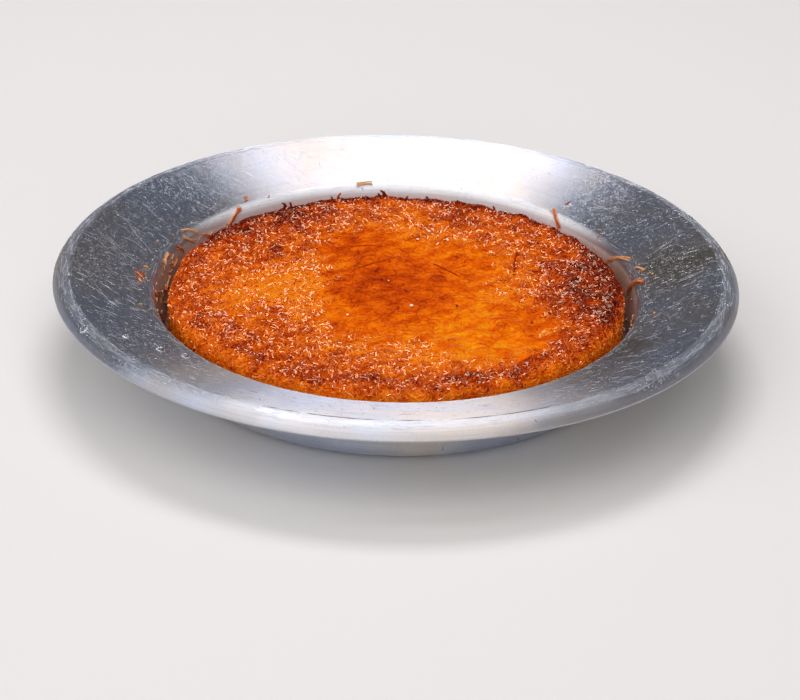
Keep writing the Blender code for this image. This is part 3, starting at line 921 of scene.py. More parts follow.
@dataclass
class Pan:
    """The spun pan: one sheet with a flat floor, a steep wall, a wide sloping rim and a rolled lip."""

    sheet: float = 1.5 * MM
    radius: float = 115.0 * MM
    height: float = 31.3 * MM
    floor_corner: float = 78.6 * MM
    mouth_corner: float = 81.6 * MM
    rim_slope: float = math.radians(17.5)
    lip_slope: float = math.radians(-56.0)
    floor_fillet: float = 5.0 * MM
    mouth_fillet: float = 4.0 * MM
    lip_fillet: float = 5.5 * MM
    lip_flat: float = 1.4 * MM
    segments: int = 420
    spacing: float = 2.2 * MM
    floor_spacing: float = 8.0 * MM
    arc_step: float = math.radians(5.0)
    lip_step: float = math.radians(2.5)
    groove_place: float = 0.9 * MM
    groove_width: float = 0.28 * MM
    groove_depth: float = 0.16 * MM
    waver: float = 0.16 * MM
    nicks: float = 0.035 * MM
    nick_length: float = 7.0 * MM
    nick_seed: int = 21
    clearance: float = 0.06 * MM

    @cached_property
    def lip_start(self) -> Array:
        """Where the rim's straight slope ends and the lip's bend over its crest begins, as (r, z).

        Returns:
            The point.
        """
        reach = -self.lip_fillet * math.sin(self.lip_slope) + self.lip_flat * math.cos(self.lip_slope)
        centre = np.array([self.radius - reach, self.height - self.lip_fillet])
        return centre + self.lip_fillet * np.array([-math.sin(self.rim_slope), math.cos(self.rim_slope)])

    @cached_property
    def mouth(self) -> Array:
        """The corner where the wall and the rim's slope would meet, as (r, z)."""
        fall = (self.lip_start[0] - self.mouth_corner) * math.tan(self.rim_slope)
        return np.array([self.mouth_corner, self.lip_start[1] - fall])

    def corners(self) -> list[tuple[float, float, float]]:
        """The upper face's corners, (r, z, fillet radius), from the floor's middle to the lip's edge.

        Returns:
            The corners, in metres.
        """
        rim_way = np.array([math.cos(self.rim_slope), math.sin(self.rim_slope)])
        lip = self.lip_start + rim_way * self.lip_fillet * math.tan((self.rim_slope - self.lip_slope) / 2)
        drop = self.lip_fillet * (1 - math.cos(self.lip_slope)) - self.lip_flat * math.sin(self.lip_slope)
        return [
            (0.0, self.sheet, 0.0),
            (self.floor_corner, self.sheet, self.floor_fillet),
            (*self.mouth, self.mouth_fillet),
            (*lip, self.lip_fillet),
            (self.radius, self.height - drop, 0.0),
        ]

    @cached_property
    def face(self) -> Array:
        """The upper face, from the middle out.

        Each inner corner is an arc, start + fillet * (side - side turned by the angle), and each straight run
        is cut into steps of the pan's spacing.

        Returns:
            (n, 2) points (r, z), in metres.
        """
        corners = self.corners()
        spots = np.array([(r, z) for r, z, _ in corners])
        parts = [spots[:1]]
        for before, here, after, (_, _, fillet) in zip(spots, spots[1:], spots[2:], corners[1:-1]):
            way_in, way_out = unit(here - before), unit(after - here)
            turn = math.atan2(way_in[0] * way_out[1] - way_in[1] * way_out[0], way_in @ way_out)
            start = here - way_in * fillet * math.tan(abs(turn) / 2)
            side = leftward(way_in) * math.copysign(1.0, turn)
            at_lip = turn < 0 and here[0] > self.mouth_corner + self.mouth_fillet
            step = self.lip_step if at_lip else self.arc_step
            angles = np.linspace(0.0, turn, max(3, round(abs(turn) / step)))[:, None]
            swung = np.cos(angles) * side + np.sin(angles) * leftward(side)
            arc = start + fillet * (side - swung)
            parts += [self.straight(parts[-1][-1], arc[0]), arc]
        parts += [self.straight(parts[-1][-1], spots[-1]), spots[-1:]]
        return np.concatenate(parts)

    def straight(self, start: Array, end: Array) -> Array:
        """Evenly spaced points between two points, without either.

        Args:
            start: the first point.
            end: the second point.

        Returns:
            (n, 2) points.
        """
        spacing = self.floor_spacing if end[0] < self.floor_corner else self.spacing
        steps = max(2, math.ceil(np.linalg.norm(end - start) / spacing))
        return start + (end - start) * (np.arange(1, steps)[:, None] / steps)

    @cached_property
    def lengths(self) -> Array:
        """The length over the face from the middle to each of its points."""
        return walked(self.face)

    @cached_property
    def ways(self) -> Array:
        """The direction of the face at each of its points, outwards."""
        return unit(np.gradient(self.face, axis=0))

    def length_to(self, corner: Array) -> float:
        """The length over the face from its middle to the point nearest a corner."""
        return float(self.lengths[np.argmin(np.linalg.norm(self.face - corner, axis=1))])

    def grooved(self) -> Array:
        """The face with the shallow groove that the spinning left where the rim turns over into the lip.

        The groove is a Gaussian bell in the length walked from the bend's start, sunk along the normal.
        """
        off = (self.lengths - self.length_to(self.lip_start) - self.groove_place) / self.groove_width
        return self.face - leftward(self.ways) * (self.groove_depth * np.exp(-off * off))[:, None]

    def outline(self) -> Array:
        """The whole section: the upper face out, a half-round edge, and the lower face back, as (r, z).

        Returns:
            (n, 2) points.
        """
        normal = leftward(self.ways)
        normal[0] = (0.0, 1.0)
        lower = self.face - normal * self.sheet
        angles = np.linspace(0.0, math.pi, 7)[1:-1, None]
        round_end = np.cos(angles) * normal[-1] + 0.6 * np.sin(angles) * self.ways[-1]
        edge = (self.face[-1] + lower[-1]) / 2 + self.sheet / 2 * round_end
        return np.concatenate([self.grooved(), edge, lower[::-1]])

    def build(self, finish: Finish) -> None:
        """Turns the section about Z and lets the rim waver a little, always inwards and down.

        Args:
            finish: the piece's material.
        """
        section = self.outline()
        reach, rise = section[1:-1, :1], section[1:-1, 1:]
        places = np.broadcast_arrays(reach, full_turn(self.segments), rise)
        poles = np.array([[0.0, 0.0, section[0, 1]], [0.0, 0.0, section[-1, 1]]])
        shape = capped(self.sagged(*places), poles)
        self.unwrap(build_piece("spun_pan", shape, finish, "aluminium", "pan"), section)

    def sagged(self, reach: Array, angle: Array, rise: Array) -> Array:
        """Places on a true pan moved as the rim wavers: inwards and down, by a few sines and small nicks.

        Args:
            reach: distances from the axis.
            angle: angles round it.
            rise: heights.

        Returns:
            (..., 3) points.
        """
        out = smooth_step(self.mouth_corner, self.radius, reach)
        long_wave = 0.5 + 0.28 * np.sin(2 * angle + 0.7) + 0.22 * np.sin(5 * angle + 2.0)
        nick = np.clip(wave_noise(*polar(reach, angle), self.nick_length, self.nick_seed), -2.0, 2.0)
        dent = self.nicks * (1.0 + 0.4 * nick) + self.clearance
        rise = rise - out * (self.waver * (1 - long_wave) + dent)
        return around(reach - out * (self.waver * long_wave + dent), angle, rise)

    def unwrap(self, piece: Piece, section: Array) -> None:
        """Lays a UV map on the sheet: u is the length round at the rim, and v the length over the section.

        Args:
            piece: the pan.
            section: the section that it was turned from.
        """
        over = walked(section)
        ring, step = np.meshgrid(np.arange(1, len(section) - 1), np.arange(self.segments), indexing="ij")
        u = np.concatenate([(step / self.segments).ravel(), [0.0, 0.0]])
        v = np.concatenate([over[ring].ravel(), [over[0], over[-1]]])
        mesh = piece.data
        numbers, starts = np.zeros(len(mesh.loops), np.int32), np.zeros(len(mesh.polygons), np.int32)
        mesh.loops.foreach_get("vertex_index", numbers)
        mesh.polygons.foreach_get("loop_start", starts)
        u, sizes = u[numbers], np.diff(np.append(starts, len(numbers)))
        widest = np.repeat(np.maximum.reduceat(u, starts), sizes)
        u = np.where((widest > 0.75) & (u < 0.25), u + 1.0, u)
        uv = np.stack([u * math.tau * self.radius, v[numbers]], axis=-1)
        mesh.uv_layers.new(name="sheet").data.foreach_set("uv", uv.astype(np.float32).ravel())

    def along_at(self, distance: Array | float) -> Array:
        """The length over the face from the mouth's corner, below 0 down the wall, to a distance out."""
        return np.interp(distance, self.face[:, 0], self.lengths) - self.length_to(self.mouth)

    def on_face(self, along: Array | float, angle: Array | float, lift: Array | float) -> Array:
        """The points lift above the pan's upper face.

        Args:
            along: metres out over the rim from the mouth's corner, or down the wall where it is below 0.
            angle: the angle round the pan, in radians.
            lift: height over the face, along its normal.

        Returns:
            (..., 3) points.
        """
        at = np.asarray(along) + self.length_to(self.mouth)
        rows = np.hstack([self.face, self.ways]).T
        reach, rise, run, climb = (np.interp(at, self.lengths, row) for row in rows)
        return self.sagged(*np.broadcast_arrays(reach - lift * climb, angle, rise + lift * run))


class Heading(Enum):
    """What the angle of a family of scratches is measured from."""

    ROUND = "the way round the pan"
    LEVEL = "the X axis"


class ScratchFamily(NamedTuple):
    """Scratches of one kind: how many, where, which way, how long, how wide and how bright.

    reaches are distances from the pan's axis, turns are degrees round it, heading and spread are in degrees,
    and the rest are in millimetres, but for shine, which runs from 0, dark, to 1, bright.
    """

    count: int
    reaches: Span
    turns: Span
    measured_from: Heading
    heading: float
    spread: float
    lengths: Span
    widths: Span
    shine: Span


ROUND, LEVEL = Heading.ROUND, Heading.LEVEL
FAMILIES = tuple(ScratchFamily(*row) for row in (
    (1500, (82, 113), (0, 360), LEVEL, 0, 90, (0.4, 1.4), (0.12, 0.22), (0.15, 0.85)),
    (1000, (82, 113), (0, 360), LEVEL, 0, 80, (1.5, 4.0), (0.07, 0.14), (0.25, 0.80)),
    (200, (82, 112), (0, 360), LEVEL, 22, 26, (2.0, 7.0), (0.07, 0.13), (0.35, 0.85)),
    (180, (82, 112), (0, 360), LEVEL, -38, 26, (2.0, 7.0), (0.07, 0.13), (0.35, 0.85)),
    (1300, (109.2, 113.2), (0, 360), ROUND, 0, 6, (1.0, 6.0), (0.09, 0.19), (0.5, 1.0)),
    (460, (109.0, 113.4), (0, 360), ROUND, 75, 34, (0.3, 1.1), (0.10, 0.20), (0.6, 1.0)),
    (420, (81.6, 85.0), (0, 360), ROUND, 0, 18, (1.0, 5.0), (0.09, 0.18), (0.35, 0.95)),
    (160, (82.0, 86.0), (0, 360), ROUND, 75, 30, (0.6, 1.8), (0.09, 0.16), (0.4, 1.0)),
    (26, (90, 110), (0, 7), LEVEL, 14, 12, (0.6, 2.4), (0.10, 0.20), (0.6, 1.0)),
    (16, (88, 104), (-5, 3), LEVEL, 24, 14, (0.8, 2.6), (0.08, 0.16), (0.5, 1.0)),
    (30, (92, 104), (8, 22), LEVEL, 84, 18, (0.5, 1.8), (0.09, 0.18), (0.6, 1.0)),
    (60, (84, 110), (36, 78), LEVEL, -48, 18, (3.0, 12.0), (0.08, 0.14), (0.6, 1.0)),
    (80, (84, 112), (100, 142), LEVEL, -36, 16, (3.0, 13.0), (0.08, 0.14), (0.6, 1.0)),
    (34, (86, 106), (184, 206), LEVEL, -30, 14, (1.5, 5.0), (0.08, 0.15), (0.4, 0.9)),
    (44, (94, 110), (158, 180), LEVEL, 86, 16, (1.0, 4.0), (0.07, 0.13), (0.4, 0.8)),
    (60, (84, 104), (236, 300), ROUND, 0, 6, (3.0, 12.0), (0.06, 0.12), (0.4, 0.8)),
    (34, (83, 106), (232, 308), LEVEL, 30, 80, (0.6, 2.4), (0.10, 0.20), (0.0, 0.06)),
    (30, (83, 108), (20, 170), LEVEL, 60, 80, (0.5, 2.0), (0.10, 0.22), (0.0, 0.10)),
    (340, (83, 113), (0, 360), LEVEL, 0, 90, (0.25, 0.5), (0.24, 0.42), (0.8, 1.0)),
))

# One scratch a row: x and y of each end and the width, in millimetres, and how bright it is
LONG_SCRATCHES = (
    (-102, 42, -84, 18, 0.10, 0.9), (-96, 56, -84, 41, 0.09, 0.9), (-60, 82, -38, 72, 0.14, 0.9),
    (-47, 96, -30, 80, 0.13, 0.9), (-70, 66, -52, 62, 0.11, 0.9), (-40, 99, -18, 84, 0.11, 0.9),
    (94, -1, 104, 3, 0.12, 0.9), (98, 18, 108, 19, 0.13, 0.9), (86, 22, 99, 32, 0.10, 0.9),
    (-104, -8, -90, -34, 0.08, 0.8), (40, 97, 52, 72, 0.11, 0.9), (-92, 10, -104, 24, 0.10, 0.8),
    (66, 62, 84, 52, 0.11, 0.9), (60, 70, 70, 90, 0.11, 0.9),
    (-7.4, -88.5, -5.8, -92.0, 0.20, 0.0), (-5.8, -92.0, -5.9, -96.0, 0.20, 0.0),
    (-5.8, -92.0, -3.6, -89.0, 0.17, 0.0), (-31.2, -85.8, -29.8, -88.2, 0.22, 0.0),
    (-20.0, -92.0, -18.8, -94.6, 0.20, 0.0), (-44.4, -85.6, -41.8, -86.6, 0.30, 0.0),
    (26.0, -90.2, 30.0, -91.8, 0.22, 0.0), (27.3, -89.2, 28.6, -92.6, 0.18, 0.0),
    (-41.0, -92.5, -40.4, -96.5, 0.20, 0.0), (2.0, -100.5, 5.4, -101.0, 0.20, 0.0),
)


@dataclass
class Scoring:
    """The scratches that show singly on the pan, as slivers that stand a hair proud of its face."""

    pan: Pan
    lift: float = 0.012 * MM
    inside_mouth: float = 0.5 * MM
    inside_lip: float = 0.8 * MM
    bow: float = 0.03
    steps: int = 3
    sides: int = 4
    seed: int = 50
    short_each: int = 3
    short_scatter: float = 1.1 * MM

    def build(self, finish: Finish) -> None:
        """Every scratch as one piece.

        A scratch runs through its middle at its heading, with a slight bow. Its points are taken down onto
        the pan's face at their distance from the axis.

        Args:
            finish: the material for a piece with a "shine" attribute.
        """
        draw = np.random.default_rng(self.seed)
        rows = [self.family_rows(family, draw) for family in FAMILIES]
        rows.append(self.long_rows(draw))
        x, y, dx, dy, width, shine = np.concatenate(rows).T[:, :, None]
        share = np.linspace(-0.5, 0.5, self.steps)
        bow = draw.normal(0.0, self.bow, len(x))[:, None] * (1.0 - 4.0 * share * share)
        px, py = x + dx * share - dy * bow, y + dy * share + dx * bow
        inner, outer = self.pan.mouth_corner - self.inside_mouth, self.pan.radius - self.inside_lip
        along = self.pan.along_at(np.clip(np.hypot(px, py), inner, outer))
        lines = self.pan.on_face(along, np.arctan2(py, px), self.lift)
        half = width / 2 * (1.0 - 0.6 * (2 * share) ** 4)
        shape = tube_bundle(lines, half, self.sides, 0.45, np.zeros(len(x)))
        shine = tube_values(np.clip(shine, 0.0, 1.0), half, self.sides)
        build_piece("scratches", shape, finish, "aluminium", smooth=False, shine=shine)

    @staticmethod
    def family_rows(family: ScratchFamily, draw: Draw) -> Array:
        """A family's rows of (x, y, dx, dy, width, shine), in metres.

        Args:
            family: the kind of scratches.
            draw: the random draw.

        Returns:
            (count, 6) numbers.
        """
        count, (near, far) = family.count, family.reaches
        reach = np.sqrt(draw.uniform(near**2, far**2, count)) * MM
        angle = np.radians(draw.uniform(*family.turns, count))
        heading = np.radians(family.heading + family.spread * draw.normal(0.0, 0.6, count))
        if family.measured_from is Heading.ROUND:
            heading = heading + angle + math.pi / 2
        length = draw.uniform(*family.lengths, count) * MM
        width, shine = draw.uniform(*family.widths, count) * MM, draw.uniform(*family.shine, count)
        return np.stack([*polar(reach, angle), *polar(length, heading), width, shine], axis=-1)

    def long_rows(self, draw: Draw) -> Array:
        """The listed scratches as such rows, each bright one with a few short ones along it.

        Args:
            draw: the random draw.

        Returns:
            (n, 6) numbers.
        """
        rows = np.array(LONG_SCRATCHES)
        x1, y1, x2, y2, width = rows[:, :5].T * MM
        middle = np.stack([(x1 + x2) / 2, (y1 + y2) / 2, x2 - x1, y2 - y1, width, rows[:, 5]], axis=-1)
        beside = np.repeat(middle[rows[:, 5] > 0.5], self.short_each, axis=0)
        count = len(beside)
        slide = beside[:, 2:4] * draw.uniform(-0.3, 0.3, (count, 1))
        beside[:, :2] += draw.normal(0.0, self.short_scatter, (count, 2)) + slide
        beside[:, 2:4] *= draw.uniform(0.10, 0.4, (count, 1))
        beside[:, 4:] *= (0.7, 0.8)
        return np.concatenate([middle, beside])


class Coverage(Enum):
    """Which part of the cake's skin a batch of strands lies on."""

    MAT = "the rough ring outside the pressed middle"
    MIDDLE = "the smooth pressed middle"
    CLUMPS = "clumps of the rough ring, more of them where it is browner"
    EDGE = "the burnt arcs of the top's edge"
    SIDE = "the rounded edge and the side"


class StrandBatch(NamedTuple):
    """How one kind of short pastry strand is spread over the skin.

    reach is the nearest and farthest distance from the middle over the skin. lifts is how far above it the
    strands' middles lie, tilt is how much higher one end is, and dip is how far both ends sink. All of these,
    the lengths and the widths are in millimetres. flatten is a strand's height over its width. bend is the
    scatter of its turn from end to end, in radians, and steps is its number of points. Its brownness is its
    place's own, plus shift, with a scatter of spread. A batch with a lean has glazed bits that face a sky
    tipped towards the viewer by that slope, with that unevenness.
    """

    name: str
    coverage: Coverage
    count: int
    reach: Span
    lengths: Span
    widths: Span
    lifts: Span
    tilt: float
    dip: float
    flatten: float
    bend: float
    steps: int
    shift: float
    spread: float
    seed: int
    lean: float = 0.0
    unevenness: float = 0.0


BATCHES = tuple(StrandBatch(*row) for row in (
    ("golden_strands", Coverage.MAT, 10400, (0.0, 79.0), (1.0, 2.8), (0.42, 0.74), (-0.08, 0.08),
     0.11, 0.11, 0.8, 1.4, 3, -0.07, 0.05, 61),
    ("crisp_strands", Coverage.MAT, 11100, (0.0, 79.0), (0.8, 2.4), (0.50, 0.90), (-0.09, 0.10),
     0.11, 0.11, 0.6, 1.4, 3, 0.01, 0.05, 62),
    ("amber_strands", Coverage.MAT, 7400, (0.0, 78.0), (1.8, 4.4), (0.36, 0.64), (-0.14, 0.12),
     0.12, 0.14, 0.8, 1.4, 4, 0.0, 0.06, 63),
    ("glaze_beads", Coverage.CLUMPS, 22500, (10.0, 86.0), (0.6, 1.9), (0.56, 1.14), (0.06, 0.30),
     0.0, 0.0, 0.34, 0.0, 2, -0.02, 0.06, 67, 0.34, 0.13),
    ("pressed_strands", Coverage.MIDDLE, 2600, (0.0, 56.0), (1.8, 6.0), (0.42, 0.74), (-0.03, 0.0),
     0.0, 0.02, 0.12, 2.4, 7, 0.10, 0.05, 64),
    ("side_strands", Coverage.SIDE, 4200, (77.0, 90.0), (1.4, 4.2), (0.40, 0.72), (-0.14, 0.10),
     0.08, 0.20, 0.8, 1.3, 4, -0.02, 0.06, 65),
    ("edge_crumbs", Coverage.EDGE, 3000, (73.0, 76.6), (0.8, 2.4), (0.45, 0.95), (-0.10, 0.36),
     0.22, 0.20, 0.8, 1.6, 3, 0.04, 0.08, 66),
))


@dataclass
class Kunafa:
    """The cake: a relief core with its strands laid over it.

    Each pressed disc is (x, y, radius), each curl (degrees round, length, lean to the left over length), each
    dark strand three places (x, y), and each fleck (x, y, half width, brownness), with their lengths in
    millimetres. A relief wave is (share, length, seed).
    """

    skin: CakeSkin = CakeSkin()
    toasting: Toasting = Toasting()
    segments: int = 432
    top_rings: int = 150
    edge_rings: int = 10
    side_rings: int = 18
    fine_relief: float = 0.13 * MM
    relief_waves: tuple = ((1.0, 3.4 * MM, 31), (0.7, 1.9 * MM, 32))
    waves_each: int = 14
    pressed_discs: tuple = ((2, -2, 27), (30, -28, 22), (-8, 28, 18), (16, 16, 20), (-5, -20, 18))
    pressed_border: float = 4.5
    pressed_sway: float = 3.2 * MM
    sway_length: float = 8.0 * MM
    sway_seed: int = 91
    strand_scatter: float = 0.8 * MM
    step_scatter: float = 0.03
    clump_length: float = 6.0 * MM
    clump_seed: int = 83
    top_strands: int = 146
    top_spread: float = 0.43
    top_bend: float = 1.5
    short_strand: Span = (5.5 * MM, 9.5 * MM)
    long_strand: Span = (11.0 * MM, 18.0 * MM)
    long_every: int = 4
    edge_strands: int = 28
    strand: float = 1.0 * MM
    strand_sides: int = 6
    short_sides: int = 4
    strand_seed: int = 8
    raised_seed: int = 71
    raised_darkest: float = 0.56
    fleck_seed: int = 72
    curls: tuple = (
        (93.2, 2.4, 1.0), (94.3, 2.0, -0.3), (95.0, 1.3, 0.7), (107.3, 2.4, -0.7), (108.4, 1.5, 0.5),
        (106.6, 1.2, 0.2), (120.9, 2.1, 0.2), (123.2, 2.0, -0.3), (122.1, 2.3, 0.9), (62.0, 1.7, 0.6),
        (88.0, 1.2, -0.8), (81.5, 1.2, 0.8),
    )
    dark_strands: tuple = (
        ((-16.9, 11.0), (-8.5, 19.4), (1.8, 25.6)), ((42.2, 31.9), (40.8, 22.1), (40.2, 11.8)),
        ((-22.0, 30.0), (-12.0, 33.5), (-2.0, 32.0)), ((11.8, 20.8), (17.5, 15.4), (22.5, 9.3)),
    )
    # The pale flecks, with brownness near 0, are partly painted glints; the dark ones are real dark specks
    flecks: tuple = (
        (5.3, -13.2, 0.66, 0.0), (20.4, -12.3, 0.46, 0.97), (45.0, -23.5, 0.50, 0.97),
        (-37.0, -8.0, 0.3, 0.05), (38.7, 64.0, 0.60, 0.0), (41.5, 62.8, 0.55, 0.0),
        (36.0, 65.3, 0.45, 0.04), (44.2, 61.2, 0.45, 0.06), (-30.5, -12.0, 0.36, 0.04),
        (-2.6, 6.0, 0.30, 0.06), (11.2, 45.0, 0.60, 0.02), (-14.0, -46.0, 0.4, 0.05),
        (7.2, 38.8, 0.50, 0.03), (17.7, 38.4, 0.50, 0.04), (-15.8, -21.2, 0.45, 0.04),
        (-29.0, 12.4, 0.55, 0.04), (-28.4, 15.6, 0.42, 0.06), (-26.5, 10.6, 0.38, 0.06),
    )

    def pressed(self, x: Array, y: Array) -> Array:
        """How smooth the top was pressed, 0 to 1: inside any of a few discs, with soft, wandering borders.

        Args:
            x, y: places of the unrolled skin, in metres.

        Returns:
            The smoothness, in the shape of x.
        """
        rough = np.ones_like(x)
        sway = self.pressed_sway * wave_noise(x, y, self.sway_length, self.sway_seed)
        for px, py, size in self.pressed_discs:
            inner, outer = metres((size - self.pressed_border, size + self.pressed_border))
            away = np.hypot(x - px * MM, y - py * MM) + sway
            rough = rough * smooth_step(inner, outer, away)
        return 1.0 - rough

    def build_core(self, finish: Finish) -> None:
        """The cake's body, which stands for its node: rings over the skin to the foot, and a flat underside.

        The height is the skin's own, with finer waves on it that fade in the pressed middle.

        Args:
            finish: the crust's material.
        """
        skin, angle = self.skin, full_turn(self.segments)
        flat, start, end = skin.stations()
        runs = ((0.0, flat, self.top_rings), (flat, start, self.edge_rings), (start, end, self.side_rings))
        arcs = np.concatenate([np.linspace(near, far, rings)[1:] for near, far, rings in runs])
        x, y = polar(arcs[:, None], angle)
        outside = 1.0 - self.pressed(x, y)
        waves = sum(share * wave_noise(x, y, *wave, self.waves_each) for share, *wave in self.relief_waves)
        lift = self.fine_relief * (waves * (0.04 + 0.96 * outside) - 0.3 - 0.7 * outside)
        turns = np.linspace(0.0, math.pi / 2, 5)[1:, None]
        reach = skin.outline(angle) - skin.foot_fillet * (1 - np.cos(turns)) - 2 * self.fine_relief
        foot = around(reach, angle, skin.floor + skin.foot_fillet * (1 - np.sin(turns)))
        middle = skin.place(np.zeros(1), np.zeros(1), -0.3 * self.fine_relief)
        poles = np.concatenate([middle, [[0.0, 0.0, skin.floor]]])
        shape = capped(np.concatenate([skin.place(x, y, lift), foot]), poles)
        shell_brown = self.toasting.at(x, y) + 0.02 + 0.04 * outside
        foot_brown = np.broadcast_to(shell_brown[-1], (len(foot), self.segments)) + 0.15
        brown = np.concatenate([shell_brown.ravel(), foot_brown.ravel(), [0.42, 0.5]])
        build_piece("cake_core", shape, finish, "baked_crust", "kunafa", brownness=brown)

    def build_batch(self, batch: StrandBatch, finish: Finish) -> None:
        """One batch of short strands, as one piece.

        The strands' middles follow the sunflower rule with a little drawn scatter. Each runs at a drawn
        heading that turns by bend from end to end, so its places are the sums of (cos, sin) of the heading.
        Over the skin it lies at lift + tilt * u - dip * u^2, with u from -1 to 1 along it. A batch with a
        lean has flat bits that each face their own sky, (0, -lean, 1) and a little drawn unevenness, and lie
        square to it: the lift gains -(sky . way from the middle) / sky's height.

        Args:
            batch: the kind of strand.
            finish: the strands' material.
        """
        draw = np.random.default_rng(batch.seed)
        number, (near, far) = np.arange(batch.count), metres(batch.reach)
        reach = np.sqrt(near**2 + (far**2 - near**2) * (number + 0.5) / batch.count)
        x0, y0 = polar(reach, number * GOLDEN_TURN + batch.seed)
        x0 = x0 + draw.normal(0.0, self.strand_scatter, batch.count)
        y0 = y0 + draw.normal(0.0, self.strand_scatter, batch.count)
        kept = self.covered(batch.coverage, x0, y0, draw)
        x0, y0 = x0[kept, None], y0[kept, None]
        count = len(x0)
        length, width = (draw.uniform(*metres(span), (count, 1)) for span in (batch.lengths, batch.widths))
        heading = draw.uniform(0.0, math.tau, (count, 1))
        bend = draw.normal(0.0, batch.bend, (count, 1))
        curl = draw.uniform(-0.5, 0.5, (count, 1))
        u = np.linspace(-1.0, 1.0, batch.steps)
        way = heading + bend * u / 2 + curl * np.sin(math.pi * u)
        step = length / (batch.steps - 1)
        x, y = (np.cumsum(part * step, axis=1) for part in (np.cos(way), np.sin(way)))
        x = x + (x0 - x.mean(axis=1, keepdims=True))
        y = y + (y0 - y.mean(axis=1, keepdims=True))
        lift = draw.uniform(*metres(batch.lifts), (count, 1))
        tilt = draw.normal(0.0, batch.tilt * MM, (count, 1))
        sky = np.array([0.0, -batch.lean, 1.0]) + batch.unevenness * draw.normal(0.0, 1.0, (count, 3))
        leaning = -(sky[:, :1] * (x - x0) + sky[:, 1:2] * (y - y0)) / sky[:, 2:]
        lift = lift + tilt * u - batch.dip * MM * u * u + leaning
        pull = np.minimum(1.0, self.skin.stations()[2] / np.maximum(np.hypot(x, y), TINY))
        half = width / 2 * (1.0 - 0.35 * u**4)
        spin = np.full(count, math.pi / 4) if batch.lean else draw.uniform(0.0, math.tau, count)
        lines = self.skin.place(x * pull, y * pull, lift)
        shape = tube_bundle(lines, half, self.short_sides, batch.flatten, spin, unit(sky))
        brown = self.toasting.at(x0, y0) + batch.shift + draw.normal(0.0, batch.spread, (count, 1))
        brown = brown + draw.normal(0.0, self.step_scatter, half.shape)
        brown = np.clip(brown, self.toasting.palest, self.toasting.darkest)
        brown = tube_values(brown, half, self.short_sides)
        build_piece(batch.name, shape, finish, "baked_crust", smooth=False, brownness=brown)

    def covered(self, coverage: Coverage, x: Array, y: Array, draw: Draw) -> Array:
        """Which places a batch keeps, by chance where its part of the skin fades into the next.

        Args:
            coverage: the batch's part of the skin.
            x, y: places of the unrolled skin, in metres.
            draw: the random draw.

        Returns:
            True for each place that is kept.
        """
        chance, pressed = draw.uniform(0.05, 0.95, len(x)), self.pressed(x, y)
        if coverage is Coverage.MAT:
            return pressed < chance
        if coverage is Coverage.MIDDLE:
            return pressed > chance
        if coverage is Coverage.CLUMPS:
            clumps = 0.66 + 0.26 * wave_noise(x, y, self.clump_length, self.clump_seed)
            clumps = clumps + 1.1 * (self.toasting.at(x, y) - 0.48)
            return (pressed < 0.6 * chance) & (clumps > 1.1 * chance)
        if coverage is Coverage.EDGE:
            return self.toasting.at(x, y) > 0.40 + 0.35 * chance
        return np.ones(len(x), bool)

    def raised_lines(self) -> Array:
        """The large strands of the top, at the solid's own places.

        Returns:
            (count, steps, 3) points.
        """
        draw = random.Random(self.strand_seed)
        rows = []
        for index in range(self.top_strands):
            lengths = self.long_strand if index % self.long_every == 0 else self.short_strand
            turn = draw.uniform(0.0, math.tau)
            rows.append((turn, draw.uniform(*lengths), draw.uniform(-self.top_bend, self.top_bend)))
        heading, length, bend = np.array(rows).T[:, :, None]
        number = np.arange(self.top_strands)[:, None]
        reach = self.skin.radius - self.skin.edge_fillet - 1.5 * MM
        radius = reach * ((number + 0.5) / self.top_strands) ** self.top_spread
        share = np.linspace(-0.5, 0.5, 11)
        x, y = np.array(polar(radius, number * GOLDEN_TURN)) + polar(length * share, heading + bend * share)
        pull = np.minimum(1.0, reach / np.hypot(x, y))
        return self.skin.place(x * pull, y * pull, self.strand * (0.06 - 0.75 * (2 * np.abs(share)) ** 1.6))

    def edge_lines(self) -> Array:
        """The large strands that bend over the edge, at the solid's own places.

        Returns:
            (count, steps, 3) points.
        """
        draw = random.Random(self.strand_seed)
        for _ in range(3 * self.top_strands):
            draw.random()
        rows = []
        for index in range(self.edge_strands):
            angle = math.tau * (index + draw.uniform(-0.35, 0.35)) / self.edge_strands
            drift = draw.uniform(-0.13, 0.13)
            rows.append((angle, drift, draw.uniform(0.90, 0.97), draw.uniform(1.75, 2.35)))
        angle, drift, first, last = np.array(rows).T[:, :, None]
        share = np.linspace(0.0, 1.0, 9)
        arc = np.interp(first + (last - first) * share, [0.0, 1.0, 2.0, 3.0], [0.0, *self.skin.stations()])
        lift = self.strand * (0.05 - 0.70 * np.abs(2 * share - 1) ** 2)
        return self.skin.place(*polar(arc, angle + drift * share), lift)

    def curl_lines(self) -> Array:
        """The strands that curl up at the back edge: they rise by a sine and drift by the share's square.

        Returns:
            (count, steps, 3) points.
        """
        degrees, length, lean = np.array(self.curls).T[:, :, None]
        angle, length, share = np.radians(degrees), length * MM, np.linspace(0.0, 1.0, 9)
        arc = self.skin.stations()[1] - 0.75 * math.pi / 2 * self.skin.edge_fillet
        outward = around(1.0, angle, 0.0) * (0.25 * length * share)[..., None]
        aside = np.stack([-np.sin(angle), np.cos(angle), 0 * angle], axis=-1)
        rise = length * np.sin(1.3 * share) - 1.2 * MM * (1 - share)
        lines = self.skin.place(*polar(arc, angle)) + outward
        return lines + aside * (length * lean * share**2)[..., None] + rise[..., None] * UP

